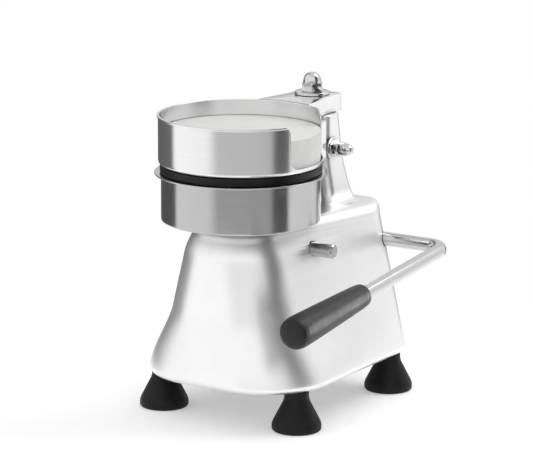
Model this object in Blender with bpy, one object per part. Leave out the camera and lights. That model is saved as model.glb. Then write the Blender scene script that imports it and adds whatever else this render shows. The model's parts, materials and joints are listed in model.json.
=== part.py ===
"""Manual burger patty press, built as an assembly of separate solids.

Working frame while building: the mould axis is the Z axis, the floor is z = 0, the lever's
grip points to -Y and the lever stands on the +X side.  Lengths are written in millimetres and
turned into metres by the helpers.  The last step slides everything so that the bounding box of
the whole press stands centred on the world origin.
"""
import math

import bmesh
import bpy
from mathutils import Matrix, Vector

MM = 0.001
GAP = 0.3

# ---- driving dimensions of the forming head ------------------------------------------------
MOULD_BORE_R = 65.0
MOULD_WALL = 1.5
MOULD_FLOOR_Z = 167.0
MOULD_FLOOR_T = 2.0
MOULD_TOP_Z = 207.7
MOULD_FLANGE_R = 72.0
MOULD_FLANGE_T = 1.2

# ---- body casting ----------------------------------------------------------------------------
BODY_BASE_Z = 34.0
BODY_SHOULDER_Z = 160.0
BODY_WALL = 4.5
FRONT_TOP = (2.0, 0.0, 41.0)
FRONT_BASE = (18.0, 3.5, 56.5)
FLARE_TOP_Z = 92.0
FLARE_END_Z = 40.0
FLARE_SPREAD = 4.5
FLARE_RADIUS = 5.0
REAR_CORNER_R = 26.0
REAR_HALF_TOP = 62.3
REAR_HALF_BASE = 82.0
REAR_Y_TOP = 138.4
REAR_Y_BASE = 155.0
SHOULDER_ROUND_R = 10.0
SHOULDER_ROUND_FROM_Z = 156.0
SEAT_PAD_R = 39.0
CEILING_Z = 162.0
GUIDE_BOSS_R = 17.0
GUIDE_BOSS_Z = 154.3

COLUMN_FRONT_Y = 94.0
COLUMN_TOP_Z = 240.0
COLUMN_HALF_TOP = 25.0
COLUMN_HALF_BASE = 31.0
COLUMN_REAR_TOP = 120.5
COLUMN_REAR_BASE = 136.0
COLUMN_FILLET_R = 12.0
COLUMN_FRONT_CORNER = 5.0
COLUMN_REAR_CORNER = 11.0
COLUMN_TAPER_END_Z = 208.0

# ---- feet ------------------------------------------------------------------------------------
FOOT_X = 66.5
FOOT_FRONT_Y = -17.5
FOOT_REAR_Y = 131.5
FOOT_RIM_R = 20.7
FOOT_NECK_R = 10.3
FOOT_HEIGHT = BODY_BASE_Z - GAP
FOOT_RECESS_Z = 8.0
FOOT_FRONT_BOSS_R = 8.0
FOOT_REAR_BOSS_R = 12.5
FOOT_BOSS_TOP_Z = 47.0
FOOT_BOLT_R = 3.0

# ---- swivelling lid --------------------------------------------------------------------------
PIVOT_Y = 110.7
POST_R = 8.0
POST_NECK_R = 4.2
POST_BOTTOM_Z = 192.0
STUD_R = 5.0
ARM_BOTTOM_Z = 241.4
ARM_TOP_Z = 256.0
ARM_HALF_WIDTH = 25.0
ARM_REAR_HALF = 19.3
ARM_TAPER_FROM_Y = 68.0
ARM_TAPER_TO_Y = 104.0
ARM_REAR_Y = 129.5
ARM_CORNER_R = 4.0
SADDLE_HALF_WIDTH = 34.0
SADDLE_FRONT_Y = 50.0
SADDLE_BACK_Y = 80.0
SADDLE_TOP_Z = 240.8
RELIEF_R = 36.8
RELIEF_TOP_Z = 223.5
LID_ORIGIN = (0.0, PIVOT_Y, ARM_BOTTOM_Z)
LID_PLATE_R = 67.4
LID_PLATE_BOTTOM_Z = 208.1
LID_PLATE_TOP_Z = 214.4
CUP_FLOOR_Z = 214.7
CUP_RIM_Z = 255.6
CUP_WALL_R = 68.8
CUP_LIP_R = 69.7
CUP_WALL = 1.2
CUP_CORNER_R = 4.0
NOTCH_FROM_DEG = -20.8
NOTCH_TO_DEG = 47.0
NOTCH_SILL_Z = 219.0
NOTCH_FOOT_R = 8.0
NOTCH_MOUTH_R = 8.0
LID_SCREW_X = 29.0
LID_SCREW_Z = (210.8, 238.0)
LID_SCREW_R = 1.5
FLOOR_SCREW_R = 2.5
FLOOR_SCREW_PCR = 40.0
PAPER_R = 66.0
PAPER_TOP_Z = 242.6
CLAMP_Y = 102.2
CLAMP_Z = 213.0
CLAMP_R = 4.0
SPOT_FACE_X = 25.2

# ---- lever, crank, rocker and piston ---------------------------------------------------------
ROD_R = 6.0
SHAFT_Y = 126.0
SHAFT_Z = 134.0
SHAFT_LEFT_X = -57.0
ARM_X = 124.2
ELBOW_R = 14.0
LEVER_DROP_DEG = 5.5
LEVER_LENGTH = 245.2
GRIP_LENGTH = 108.5
LEVER_TRAVEL_DEG = 56.0
PIN_R = 6.0
FULCRUM_Y = 31.0
FULCRUM_Z = 142.0
FULCRUM_LEFT_X = -51.0
FULCRUM_RIGHT_X = 72.4
CRANK_R = 34.0
CRANK_PIN_R = 4.0
ROCKER_FRONT_DEG = 6.0
ROCKER_REAR_DEG = -18.89
ROCKER_HALF_WIDTH = 11.3
ROCKER_HUB_R = 10.5
ROCKER_HUB_HALF = 38.0
CRANK_SLOT_HALF = 4.8
CRANK_SLOT_NEAR = 60.8
CRANK_SLOT_FAR = 67.8
CRANK_SLOT_RIM = 3.2
PISTON_SLOT_HALF = 3.8
PISTON_SLOT_NEAR = 30.4
PISTON_SLOT_FAR = 35.2
PISTON_SLOT_RIM = 4.0
PISTON_PIN_R = 3.0
PISTON_R = 8.0
PLATE_R = 64.5
PLATE_T = 8.0
PLATE_SCREW_R = 2.5
MOULD_SCREW_R = 2.5
MOULD_SCREW_PCR = 28.0
GUIDE_OUTER_R = 11.0
SHAFT_BUSH_R = 8.6
ROCKER_BUSH_R = 7.6
CRANK_KEY_R = 2.0
SHAFT_RING_X = 40.3
SNAP_RING_T = 1.1
AXLE_BOSS_R = 11.0
FULCRUM_BOSS_X = ROCKER_HUB_HALF + 3.0
SHAFT_BOSS_X = 44.0
PATTY_T = 12.7
PLATE_REST_Z = LID_PLATE_BOTTOM_Z - PATTY_T - PLATE_T

# ---- tessellation ------------------------------------------------------------------------------
RING = 40
ROUND = 32
SMALL = 16
TINY = 8
WELD = 2e-6


# ---- materials ---------------------------------------------------------------------------------
FINISHES = {
    "cast_aluminium": ((0.80, 0.80, 0.80), 1.0, 0.38),
    "turned_aluminium": ((0.84, 0.84, 0.85), 1.0, 0.28),
    "brushed_stainless": ((0.62, 0.62, 0.61), 1.0, 0.26),
    "polished_steel": ((0.70, 0.70, 0.70), 1.0, 0.12),
    "plated_steel": ((0.58, 0.58, 0.58), 1.0, 0.30),
    "bronze": ((0.55, 0.38, 0.18), 1.0, 0.35),
    "black_plate": ((0.012, 0.012, 0.013), 0.0, 0.40),
    "black_grip": ((0.015, 0.015, 0.016), 0.0, 0.33),
    "black_rubber": ((0.010, 0.010, 0.010), 0.0, 0.70),
    "white_nylon": ((0.80, 0.80, 0.78), 0.0, 0.45),
    "wax_paper": ((0.86, 0.86, 0.84), 0.0, 0.60),
}


def make_material(node, finish):
    """Give one node its own Principled material in the named finish."""
    colour, metallic, roughness = FINISHES[finish]
    material = bpy.data.materials.new(node)
    material.use_nodes = True
    shader = material.node_tree.nodes["Principled BSDF"]
    shader.inputs["Base Color"].default_value = (*colour, 1.0)
    shader.inputs["Metallic"].default_value = metallic
    shader.inputs["Roughness"].default_value = roughness
    return material


# ---- mesh helpers ------------------------------------------------------------------------------
def mm(x, y, z):
    """Vector in metres from millimetres."""
    return Vector((x * MM, y * MM, z * MM))


def add_object(name, mesh):
    """Link a mesh into the scene as a named object."""
    item = bpy.data.objects.new(name, mesh)
    bpy.context.scene.collection.objects.link(item)
    return item


def object_from_bmesh(name, work):
    """Turn a closed bmesh into an object with outward normals."""
    bmesh.ops.remove_doubles(work, verts=work.verts, dist=WELD)
    bmesh.ops.recalc_face_normals(work, faces=work.faces)
    mesh = bpy.data.meshes.new(name)
    work.to_mesh(mesh)
    work.free()
    return add_object(name, mesh)


def loft(name, rings, joined_ends=False):
    """Skin a list of equal-length point rings; cap the ends, or join last to first."""
    work = bmesh.new()
    rows = [[work.verts.new(point) for point in ring] for ring in rings]
    count = len(rows[0])
    pairs = list(zip(rows, rows[1:]))
    if joined_ends:
        pairs.append((rows[-1], rows[0]))
    for lower, upper in pairs:
        for i in range(count):
            j = (i + 1) % count
            work.faces.new((lower[i], lower[j], upper[j], upper[i]))
    if not joined_ends:
        work.faces.new(list(reversed(rows[0])))
        work.faces.new(rows[-1])
    return object_from_bmesh(name, work)


def turned(name, profile, segments=ROUND, centre=(0.0, 0.0), axis="Z"):
    """Revolve an (r, height) outline once about its axis, then stand it along the axis.

    The outline is open when its two ends are on the axis and closed otherwise.
    """
    work = bmesh.new()
    points = [work.verts.new(mm(r, 0.0, z)) for r, z in profile]
    closed = profile[0][0] > 0.0
    edges = [work.edges.new(pair) for pair in zip(points, points[1:])]
    if closed:
        edges.append(work.edges.new((points[-1], points[0])))
    bmesh.ops.spin(
        work,
        geom=points + edges,
        cent=(0.0, 0.0, 0.0),
        axis=(0.0, 0.0, 1.0),
        angle=2.0 * math.pi,
        steps=segments,
        use_merge=False,
    )
    item = object_from_bmesh(name, work)
    if axis == "X":
        item.data.transform(Matrix.Rotation(math.radians(90.0), 4, "Y"))
        item.data.transform(Matrix.Translation(mm(0.0, *centre)))
    elif axis == "Y":
        item.data.transform(Matrix.Rotation(math.radians(-90.0), 4, "X"))
        item.data.transform(Matrix.Translation(mm(centre[0], 0.0, centre[1])))
    else:
        item.data.transform(Matrix.Translation(mm(*centre, 0.0)))
    return item


def rod(name, radius, low, high, segments=SMALL, centre=(0.0, 0.0), axis="Z", chamfer=0.0):
    """Solid cylinder between two heights on its axis, with chamfered ends if asked."""
    profile = [(0.0, low), (radius, low), (radius, high), (0.0, high)]
    if chamfer:
        profile[1:3] = [
            (radius - chamfer, low),
            (radius, low + chamfer),
            (radius, high - chamfer),
            (radius - chamfer, high),
        ]
    return turned(name, profile, segments, centre, axis)


def tube(name, outer, inner, low, high, segments=SMALL, centre=(0.0, 0.0), axis="Z"):
    """Plain tube or washer between two heights on its axis."""
    profile = [(inner, low), (outer, low), (outer, high), (inner, high)]
    return turned(name, profile, segments, centre, axis)


def block(name, low, high):
    """Box between two corners."""
    work = bmesh.new()
    bmesh.ops.create_cube(work, size=1.0)
    size = [(b - a) * MM for a, b in zip(low, high)]
    middle = [(a + b) * 0.5 for a, b in zip(low, high)]
    bmesh.ops.scale(work, vec=size, verts=work.verts)
    bmesh.ops.translate(work, vec=mm(*middle), verts=work.verts)
    return object_from_bmesh(name, work)


def prism(name, outline, low, high, axis="X"):
    """Extrude a closed outline along X (outline in Y, Z) or along Z (outline in X, Y)."""
    rings = []
    for level in (low, high):
        if axis == "X":
            rings.append([mm(level, a, b) for a, b in outline])
        else:
            rings.append([mm(a, b, level) for a, b in outline])
    return loft(name, rings)


def combine(base, tool, operation):
    """Apply one exact Boolean to base and remove the tool."""
    step = base.modifiers.new("combine", "BOOLEAN")
    step.operation = operation
    step.solver = "EXACT"
    step.object = tool
    graph = bpy.context.evaluated_depsgraph_get()
    result = bpy.data.meshes.new_from_object(base.evaluated_get(graph))
    base.modifiers.clear()
    work = bmesh.new()
    work.from_mesh(result)
    bmesh.ops.remove_doubles(work, verts=work.verts, dist=WELD)
    work.to_mesh(result)
    work.free()
    base.data = result
    bpy.data.objects.remove(tool, do_unlink=True)


def cut(base, *tools):
    """Take each tool's volume out of base."""
    for tool in tools:
        combine(base, tool, "DIFFERENCE")


def fuse(base, *tools):
    """Join each tool's volume to base."""
    for tool in tools:
        combine(base, tool, "UNION")


def bevelled(item, width, segments=2, angle_deg=40.0):
    """Round the sharp edges of an object."""
    work = bmesh.new()
    work.from_mesh(item.data)
    limit = math.radians(angle_deg)
    edges = [e for e in work.edges if len(e.link_faces) == 2 and e.calc_face_angle() > limit]
    bmesh.ops.bevel(
        work,
        geom=edges,
        offset=width * MM,
        segments=segments,
        profile=0.5,
        affect="EDGES",
        clamp_overlap=True,
    )
    work.to_mesh(item.data)
    work.free()


def finish(item, finish_name, origin=None, smooth_deg=35.0):
    """Shade an object, give it its material and put its origin on its axis if it has one."""
    item.data.materials.clear()
    item.data.materials.append(make_material(item.name, finish_name))
    item.data.shade_smooth()
    item.data.set_sharp_from_angle(angle=math.radians(smooth_deg))
    if origin is not None:
        item.data.transform(Matrix.Translation(-mm(*origin)))
        item.location = mm(*origin)
    return item


def lerp(a, b, t):
    """Linear blend of two numbers."""
    return a + (b - a) * t


def smoothstep(t):
    """Ease from 0 to 1 with level ends."""
    t = min(max(t, 0.0), 1.0)
    return t * t * (3.0 - 2.0 * t)


def hexagon(flats, centre=(0.0, 0.0), turn_deg=0.0):
    """Outline of a hexagon given its width across flats."""
    reach = flats / 2.0 / math.cos(math.radians(30.0))
    points = []
    for k in range(6):
        angle = math.radians(turn_deg + 60.0 * k)
        points.append((centre[0] + reach * math.cos(angle), centre[1] + reach * math.sin(angle)))
    return points


# ---- body casting ------------------------------------------------------------------------------
def mirrored_outline(front, rear, steps=6):
    """Outline wrapped around two pairs of corner circles that mirror across X = 0.

    front and rear are (x, y, radius) of the +X circles.
    """
    dx = rear[0] - front[0]
    dy = rear[1] - front[1]
    span = math.hypot(dx, dy)
    lean = math.atan2(dx, dy) - math.asin((front[2] - rear[2]) / span)
    side = []
    for centre_x, centre_y, radius, start, end in (
        (*front, -0.5 * math.pi, -lean),
        (*rear, -lean, 0.5 * math.pi),
    ):
        for k in range(steps + 1):
            angle = lerp(start, end, k / steps)
            side.append((centre_x + radius * math.cos(angle), centre_y + radius * math.sin(angle)))
    return side + [(-x, y) for x, y in reversed(side)]


def body_circles(z):
    """Front and rear corner circles of the tapered body at height z."""
    fall = (BODY_SHOULDER_Z - z) / (BODY_SHOULDER_Z - BODY_BASE_Z)
    flare = smoothstep((FLARE_TOP_Z - z) / (FLARE_TOP_Z - FLARE_END_Z))
    front = [lerp(a, b, fall) for a, b in zip(FRONT_TOP, FRONT_BASE)]
    front[0] += FLARE_SPREAD * flare
    front[2] += FLARE_RADIUS * flare
    half = lerp(REAR_HALF_TOP, REAR_HALF_BASE, fall)
    back = lerp(REAR_Y_TOP, REAR_Y_BASE, fall)
    rear = (half - REAR_CORNER_R, back - REAR_CORNER_R, REAR_CORNER_R)
    return tuple(front), rear


def body_outline(z, inset=0.0, rear_inset=None):
    """Body outline at height z, moved inwards by inset; the rear face can move less."""
    front, rear = body_circles(z)
    kept = 0.0 if rear_inset is None else inset - rear_inset
    front = (front[0], front[1], front[2] - inset)
    rear = (rear[0], rear[1] + kept, rear[2] - inset)
    return mirrored_outline(front, rear)


def column_outline(z, spread=0.0):
    """Column outline at height z, its front and sides moved outwards by spread."""
    widen = smoothstep((COLUMN_TAPER_END_Z - z) / (COLUMN_TAPER_END_Z - BODY_SHOULDER_Z))
    half = lerp(COLUMN_HALF_TOP, COLUMN_HALF_BASE, widen)
    rise = (z - BODY_SHOULDER_Z) / (COLUMN_TOP_Z - BODY_SHOULDER_Z)
    back = lerp(COLUMN_REAR_BASE, COLUMN_REAR_TOP, rise)
    front_r = COLUMN_FRONT_CORNER
    rear_r = COLUMN_REAR_CORNER
    front = (half - front_r, COLUMN_FRONT_Y + front_r, front_r + spread)
    rear = (half - rear_r, back - rear_r - spread, rear_r + spread)
    return mirrored_outline(front, rear)


def outer_rings():
    """Rings of the casting's outside, from the bottom rim up to the column's top face."""
    rings = []
    for rise, inset in ((0.0, 3.4), (1.2, 1.6), (3.2, 0.5), (6.0, 0.0)):
        z = BODY_BASE_Z + rise
        rings.append([mm(x, y, z) for x, y in body_outline(z, inset)])
    shoulder_z = SHOULDER_ROUND_FROM_Z
    for z in (48.0, 55.0, 62.0, 70.0, 78.0, 86.0, 95.0, 125.0, shoulder_z):
        rings.append([mm(x, y, z) for x, y in body_outline(z)])
    for turn in (20.0, 40.0, 60.0, 78.0):
        angle = math.radians(turn)
        z = shoulder_z + SHOULDER_ROUND_R * math.sin(angle)
        inset = SHOULDER_ROUND_R * (1.0 - math.cos(angle))
        rings.append([mm(x, y, z) for x, y in body_outline(shoulder_z, inset, 0.0)])
    top_edge = body_outline(shoulder_z, SHOULDER_ROUND_R, 0.0)
    foot_z = shoulder_z + SHOULDER_ROUND_R
    fillet_foot = column_outline(foot_z, COLUMN_FILLET_R)
    for part in (0.15, 0.55):
        blend = [
            mm(lerp(a[0], b[0], part), lerp(a[1], b[1], part), foot_z)
            for a, b in zip(top_edge, fillet_foot)
        ]
        rings.append(blend)
    for turn in (0.0, 22.0, 44.0, 66.0, 85.0):
        angle = math.radians(turn)
        spread = COLUMN_FILLET_R * (1.0 - math.sin(angle))
        z = foot_z + 0.2 + COLUMN_FILLET_R * (1.0 - math.cos(angle))
        rings.append([mm(x, y, z) for x, y in column_outline(z, spread)])
    for z in (187.0, 197.0, 208.0, COLUMN_TOP_Z - 1.0):
        rings.append([mm(x, y, z) for x, y in column_outline(z)])
    rings.append([mm(x, y, COLUMN_TOP_Z) for x, y in column_outline(COLUMN_TOP_Z, -1.0)])
    return rings


def cavity():
    """Solid in the shape of the hollow under the casting."""
    rings = []
    levels = (BODY_BASE_Z - 2.0, FLARE_END_Z, 56.0, 68.0, 80.0, 94.0, CEILING_Z - 10.0)
    for z in levels:
        rings.append([mm(x, y, z) for x, y in body_outline(max(z, FLARE_END_Z), BODY_WALL)])
    for turn in (30.0, 60.0, 85.0):
        angle = math.radians(turn)
        inset = BODY_WALL + 10.0 * (1.0 - math.cos(angle))
        z = CEILING_Z - 10.0 + 10.0 * math.sin(angle)
        rings.append([mm(x, y, z) for x, y in body_outline(CEILING_Z - 10.0, inset)])
    return loft("cavity", rings)


def body_casting():
    """Hollow casting: tapered body, shoulder, column, and the bosses inside it."""
    body = loft("body_casting", outer_rings())
    cut(body, cavity())
    pad_z = MOULD_FLOOR_Z - GAP
    fuse(body, rod("pad", SEAT_PAD_R, CEILING_Z - 2.0, pad_z, 24))
    fuse(body, rod("guide_boss", GUIDE_BOSS_R, GUIDE_BOSS_Z, pad_z - 1.0, 24))
    for x, y in foot_places():
        boss_r = FOOT_FRONT_BOSS_R if y < 0.0 else FOOT_REAR_BOSS_R
        fuse(body, rod("boss", boss_r, BODY_BASE_Z, FOOT_BOSS_TOP_Z, SMALL, (x, y)))
    for side in (-1.0, 1.0):
        low, high = sorted((side * FULCRUM_BOSS_X, side * 49.0))
        fuse(body, rod("boss", AXLE_BOSS_R, low, high, SMALL, (FULCRUM_Y, FULCRUM_Z), "X"))
        low, high = sorted((side * SHAFT_BOSS_X, side * 53.0))
        fuse(body, rod("boss", AXLE_BOSS_R, low, high, SMALL, (SHAFT_Y, SHAFT_Z), "X"))
    cut(
        body,
        rod("bore", PIN_R + GAP, FULCRUM_LEFT_X - GAP, 80.0, SMALL, (FULCRUM_Y, FULCRUM_Z), "X"),
        rod("bore", ROD_R + 0.6, SHAFT_LEFT_X - GAP, 80.0, SMALL, (SHAFT_Y, SHAFT_Z), "X"),
        rod("bore", SHAFT_BUSH_R + GAP, -56.0, 56.0, SMALL, (SHAFT_Y, SHAFT_Z), "X"),
        rod("bore", GUIDE_OUTER_R + GAP, GUIDE_BOSS_Z - 4.0, MOULD_FLOOR_Z + 4.0, SMALL),
        rod("bore", POST_R + GAP, POST_BOTTOM_Z, COLUMN_TOP_Z + 5.0, SMALL, (0.0, PIVOT_Y)),
        rod("bore", CLAMP_R + GAP, -60.0, 60.0, SMALL, (CLAMP_Y, CLAMP_Z), "X"),
    )
    for side in (-1.0, 1.0):
        low, high = sorted((side * SPOT_FACE_X, side * 60.0))
        cut(body, rod("spot_face", 10.2, low, high, SMALL, (CLAMP_Y, CLAMP_Z), "X"))
    for x, y in mould_screw_places():
        bore = MOULD_SCREW_R + GAP
        cut(body, rod("hole", bore, MOULD_FLOOR_Z - 8.0, MOULD_FLOOR_Z + 4.0, TINY, (x, y)))
    for x, y in foot_places():
        bore = FOOT_BOLT_R + GAP
        cut(body, rod("hole", bore, BODY_BASE_Z - 3.0, FOOT_BOSS_TOP_Z - 2.0, TINY, (x, y)))
    return finish(body, "cast_aluminium", smooth_deg=32.0)


def foot_places():
    """Plan positions of the four feet."""
    return [
        (-FOOT_X, FOOT_FRONT_Y),
        (FOOT_X, FOOT_FRONT_Y),
        (-FOOT_X, FOOT_REAR_Y),
        (FOOT_X, FOOT_REAR_Y),
    ]


def circle_places(radius, start_deg):
    """Plan positions of three screws on a circle about the mould axis."""
    places = []
    for k in range(3):
        angle = math.radians(start_deg + 120.0 * k)
        places.append((radius * math.cos(angle), radius * math.sin(angle)))
    return places


def mould_screw_places():
    """Plan positions of the screws under the lower press plate."""
    return circle_places(MOULD_SCREW_PCR, 90.0)


# ---- parts carried by the casting --------------------------------------------------------------
def foot(name, x, y):
    """Conical rubber foot, hollow underneath, with a hole for its bolt."""
    hole = FOOT_BOLT_R + GAP
    recess = 6.6
    profile = [
        (15.6, 0.0),
        (19.6, 0.0),
        (FOOT_RIM_R, 1.4),
        (FOOT_RIM_R, 5.0),
        (19.9, 7.6),
        (11.2, 24.6),
        (FOOT_NECK_R, 27.6),
        (FOOT_NECK_R, FOOT_HEIGHT),
        (hole, FOOT_HEIGHT),
        (hole, 16.0),
        (recess, 16.0),
        (recess, FOOT_RECESS_Z),
        (12.0, 4.6),
    ]
    return finish(turned(name, profile, SMALL, (x, y)), "black_rubber")


def foot_bolt(name, x, y):
    """Pan-head bolt up through a foot."""
    head_z = 12.0
    seat_z = 16.0 - GAP
    profile = [
        (0.0, head_z),
        (4.6, head_z),
        (5.4, head_z + 1.2),
        (5.4, seat_z),
        (FOOT_BOLT_R, seat_z),
        (FOOT_BOLT_R, FOOT_BOSS_TOP_Z - 3.8),
        (FOOT_BOLT_R - 0.8, FOOT_BOSS_TOP_Z - 3.0),
        (0.0, FOOT_BOSS_TOP_Z - 3.0),
    ]
    return finish(turned(name, profile, TINY, (x, y)), "plated_steel")


def mould_ring():
    """Deep-drawn mould: outward rim, straight wall, rounded floor corner, guide hole."""
    wall_r = MOULD_BORE_R + MOULD_WALL
    floor_top = MOULD_FLOOR_Z + MOULD_FLOOR_T
    flange_z = MOULD_TOP_Z - MOULD_FLANGE_T
    profile = [
        (GUIDE_OUTER_R + GAP, MOULD_FLOOR_Z),
        (wall_r - 1.6, MOULD_FLOOR_Z),
        (wall_r - 0.5, MOULD_FLOOR_Z + 0.5),
        (wall_r, MOULD_FLOOR_Z + 1.6),
        (wall_r, flange_z - 1.2),
        (wall_r + 0.4, flange_z - 0.35),
        (wall_r + 1.2, flange_z),
        (MOULD_FLANGE_R - 0.4, flange_z),
        (MOULD_FLANGE_R, flange_z + 0.4),
        (MOULD_FLANGE_R, MOULD_TOP_Z - 0.4),
        (MOULD_FLANGE_R - 0.4, MOULD_TOP_Z),
        (MOULD_BORE_R + 1.0, MOULD_TOP_Z),
        (MOULD_BORE_R, MOULD_TOP_Z - 1.0),
        (MOULD_BORE_R, floor_top),
        (GUIDE_OUTER_R + GAP, floor_top),
    ]
    ring = turned("mould_ring", profile, RING)
    for x, y in mould_screw_places():
        cone = [
            (0.0, MOULD_FLOOR_Z - 1.0),
            (MOULD_SCREW_R + GAP, MOULD_FLOOR_Z - 1.0),
            (MOULD_SCREW_R + GAP, MOULD_FLOOR_Z + 0.2),
            (5.3, floor_top + 0.4),
            (5.3, floor_top + 2.0),
            (0.0, floor_top + 2.0),
        ]
        cut(ring, turned("sink", cone, TINY, (x, y)))
    return finish(ring, "brushed_stainless")


def mould_screw(name, x, y):
    """Countersunk screw that holds the mould down on the casting."""
    top = MOULD_FLOOR_Z + MOULD_FLOOR_T
    profile = [
        (0.0, MOULD_FLOOR_Z - 7.0),
        (MOULD_SCREW_R, MOULD_FLOOR_Z - 7.0),
        (MOULD_SCREW_R, MOULD_FLOOR_Z + 0.2),
        (4.6, top - 0.2),
        (4.6, top),
        (0.0, top),
    ]
    return finish(turned(name, profile, TINY, (x, y)), "plated_steel")


def guide_bush():
    """Bronze bush that guides the piston rod through the casting and the mould floor."""
    top = MOULD_FLOOR_Z + MOULD_FLOOR_T
    low = GUIDE_BOSS_Z + 0.2
    item = tube("guide_bush", GUIDE_OUTER_R, PISTON_R + 0.05, low, top, SMALL)
    return finish(item, "bronze")


def shaft_bush(name, side):
    """Flanged bronze bush for the lever shaft, pressed in from inside the casting."""
    profile = [
        (ROD_R + 0.2, 42.2),
        (SHAFT_BUSH_R + 1.6, 42.2),
        (SHAFT_BUSH_R + 1.6, 43.7),
        (SHAFT_BUSH_R, 43.7),
        (SHAFT_BUSH_R, 55.6),
        (ROD_R + 0.2, 55.6),
    ]
    item = turned(name, profile, SMALL, (SHAFT_Y, SHAFT_Z), "X")
    if side < 0.0:
        item.data.transform(Matrix.Scale(-1.0, 4, (1.0, 0.0, 0.0)))
        item.data.flip_normals()
    return finish(item, "bronze")


def fulcrum_pin():
    """Ground pin that the rocker turns on; its right end stands out of the casting."""
    groove = PIN_R - 0.7
    low = FULCRUM_LEFT_X
    high = FULCRUM_RIGHT_X
    near = ROCKER_HUB_HALF + 0.7
    far = near + 1.7
    profile = [
        (0.0, low),
        (PIN_R - 0.8, low),
        (PIN_R, low + 0.8),
        (PIN_R, -far),
        (groove, -far),
        (groove, -near),
        (PIN_R, -near),
        (PIN_R, near),
        (groove, near),
        (groove, far),
        (PIN_R, far),
        (PIN_R, high - 1.2),
        (PIN_R - 1.2, high),
        (0.0, high),
    ]
    item = turned("fulcrum_pin", profile, SMALL, (FULCRUM_Y, FULCRUM_Z), "X")
    return finish(item, "polished_steel")


def snap_ring(name, low, centre, origin):
    """Open retaining ring in a groove of a round bar that lies along X."""
    y, z = centre
    high = low + SNAP_RING_T
    outer = PIN_R + 3.0
    ring = tube(name, outer, PIN_R - 0.4, low, high, SMALL, centre, "X")
    cut(ring, block("mouth", (low - 1.0, y - 3.4, z - outer - 1.0), (high + 1.0, y + 3.4, z)))
    return finish(ring, "plated_steel", origin)


def fulcrum_rings():
    """Two retaining rings, one on each side of the rocker's hub."""
    centre = (FULCRUM_Y, FULCRUM_Z)
    low = ROCKER_HUB_HALF + 1.0
    left = -low - SNAP_RING_T
    return [
        snap_ring("fulcrum_ring_left", left, centre, None),
        snap_ring("fulcrum_ring_right", low, centre, None),
    ]


def clamp_bolt():
    """Cross bolt through the column; it sits in the pivot post's groove and keeps it down."""
    centre = (CLAMP_Y, CLAMP_Z)
    head_low = -SPOT_FACE_X - 1.6 - GAP
    bolt = rod("clamp_bolt", CLAMP_R, head_low - 2.0, 41.0, SMALL, centre, "X", 0.6)
    head = prism("head", hexagon(13.0, centre), head_low - 5.3, head_low, "X")
    fuse(bolt, head)
    return finish(bolt, "polished_steel")


def clamp_washer(name, side):
    """Washer under the clamp bolt's nut (side 1) or head (side -1)."""
    ends = (SPOT_FACE_X + GAP, SPOT_FACE_X + 1.6)
    low, high = sorted(side * end for end in ends)
    item = tube(name, 9.3, CLAMP_R + GAP, low, high, 24, (CLAMP_Y, CLAMP_Z), "X")
    return finish(item, "polished_steel")


def acorn_nut(name, flats, base, hex_top, top, hole_r, hole_top, centre, axis):
    """Acorn nut: chamfered hexagon with a domed cap, over a blind hole."""
    dome_r = flats * 0.45
    dome = [(0.0, base + 1.0), (dome_r, base + 1.0)]
    for t in (0.0, 0.25, 0.5, 0.7, 0.85, 0.95):
        dome.append((dome_r * (1.0 - t**2.4) ** 0.42, lerp(hex_top, top, t)))
    dome.append((0.0, top))
    chamfer = [
        (0.0, base - 1.0),
        (flats * 0.53, base - 1.0),
        (flats * 0.575, base + 0.9),
        (flats * 0.575, hex_top - 0.9),
        (flats * 0.53, hex_top + 1.0),
        (0.0, hex_top + 1.0),
    ]
    hole = [(0.0, base - 1.0), (hole_r, base - 1.0), (hole_r, hole_top), (0.0, hole_top + 1.5)]
    nut = prism(name, hexagon(flats), base, hex_top, "Z")
    combine(nut, turned("chamfer", chamfer, SMALL), "INTERSECT")
    fuse(nut, turned("dome", dome, SMALL))
    cut(nut, turned("hole", hole, SMALL))
    if axis == "X":
        nut.data.transform(Matrix.Rotation(math.radians(90.0), 4, "Y"))
        nut.data.transform(Matrix.Translation(mm(0.0, *centre)))
    else:
        nut.data.transform(Matrix.Translation(mm(*centre, 0.0)))
    return nut


def clamp_acorn_nut():
    """Acorn nut on the clamp bolt's right end."""
    base = SPOT_FACE_X + 1.6 + GAP
    item = acorn_nut(
        "clamp_acorn_nut", 13.0, base, base + 6.5, 46.0, CLAMP_R + GAP, 41.4, (CLAMP_Y, CLAMP_Z), "X"
    )
    return finish(item, "polished_steel")


def thrust_washer():
    """Nylon washer that the arm turns on, lying on the column's top face."""
    low = COLUMN_TOP_Z + GAP
    high = ARM_BOTTOM_Z - GAP
    item = tube("thrust_washer", 15.0, POST_R + GAP, low, high, 24, (0.0, PIVOT_Y))
    return finish(item, "white_nylon")


# ---- swivelling lid ----------------------------------------------------------------------------
def arm_plan():
    """Plan outline of the bar: wide over the saddle, narrower and square around the pivot."""
    corner = ARM_CORNER_R
    side = [
        (ARM_HALF_WIDTH, SADDLE_FRONT_Y - 2.0),
        (ARM_HALF_WIDTH, ARM_TAPER_FROM_Y),
        (ARM_REAR_HALF, ARM_TAPER_TO_Y),
    ]
    for k in range(4):
        angle = math.radians(30.0 * k)
        x = ARM_REAR_HALF - corner + corner * math.cos(angle)
        side.append((x, ARM_REAR_Y - corner + corner * math.sin(angle)))
    return side + [(-x, y) for x, y in reversed(side)]


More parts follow.
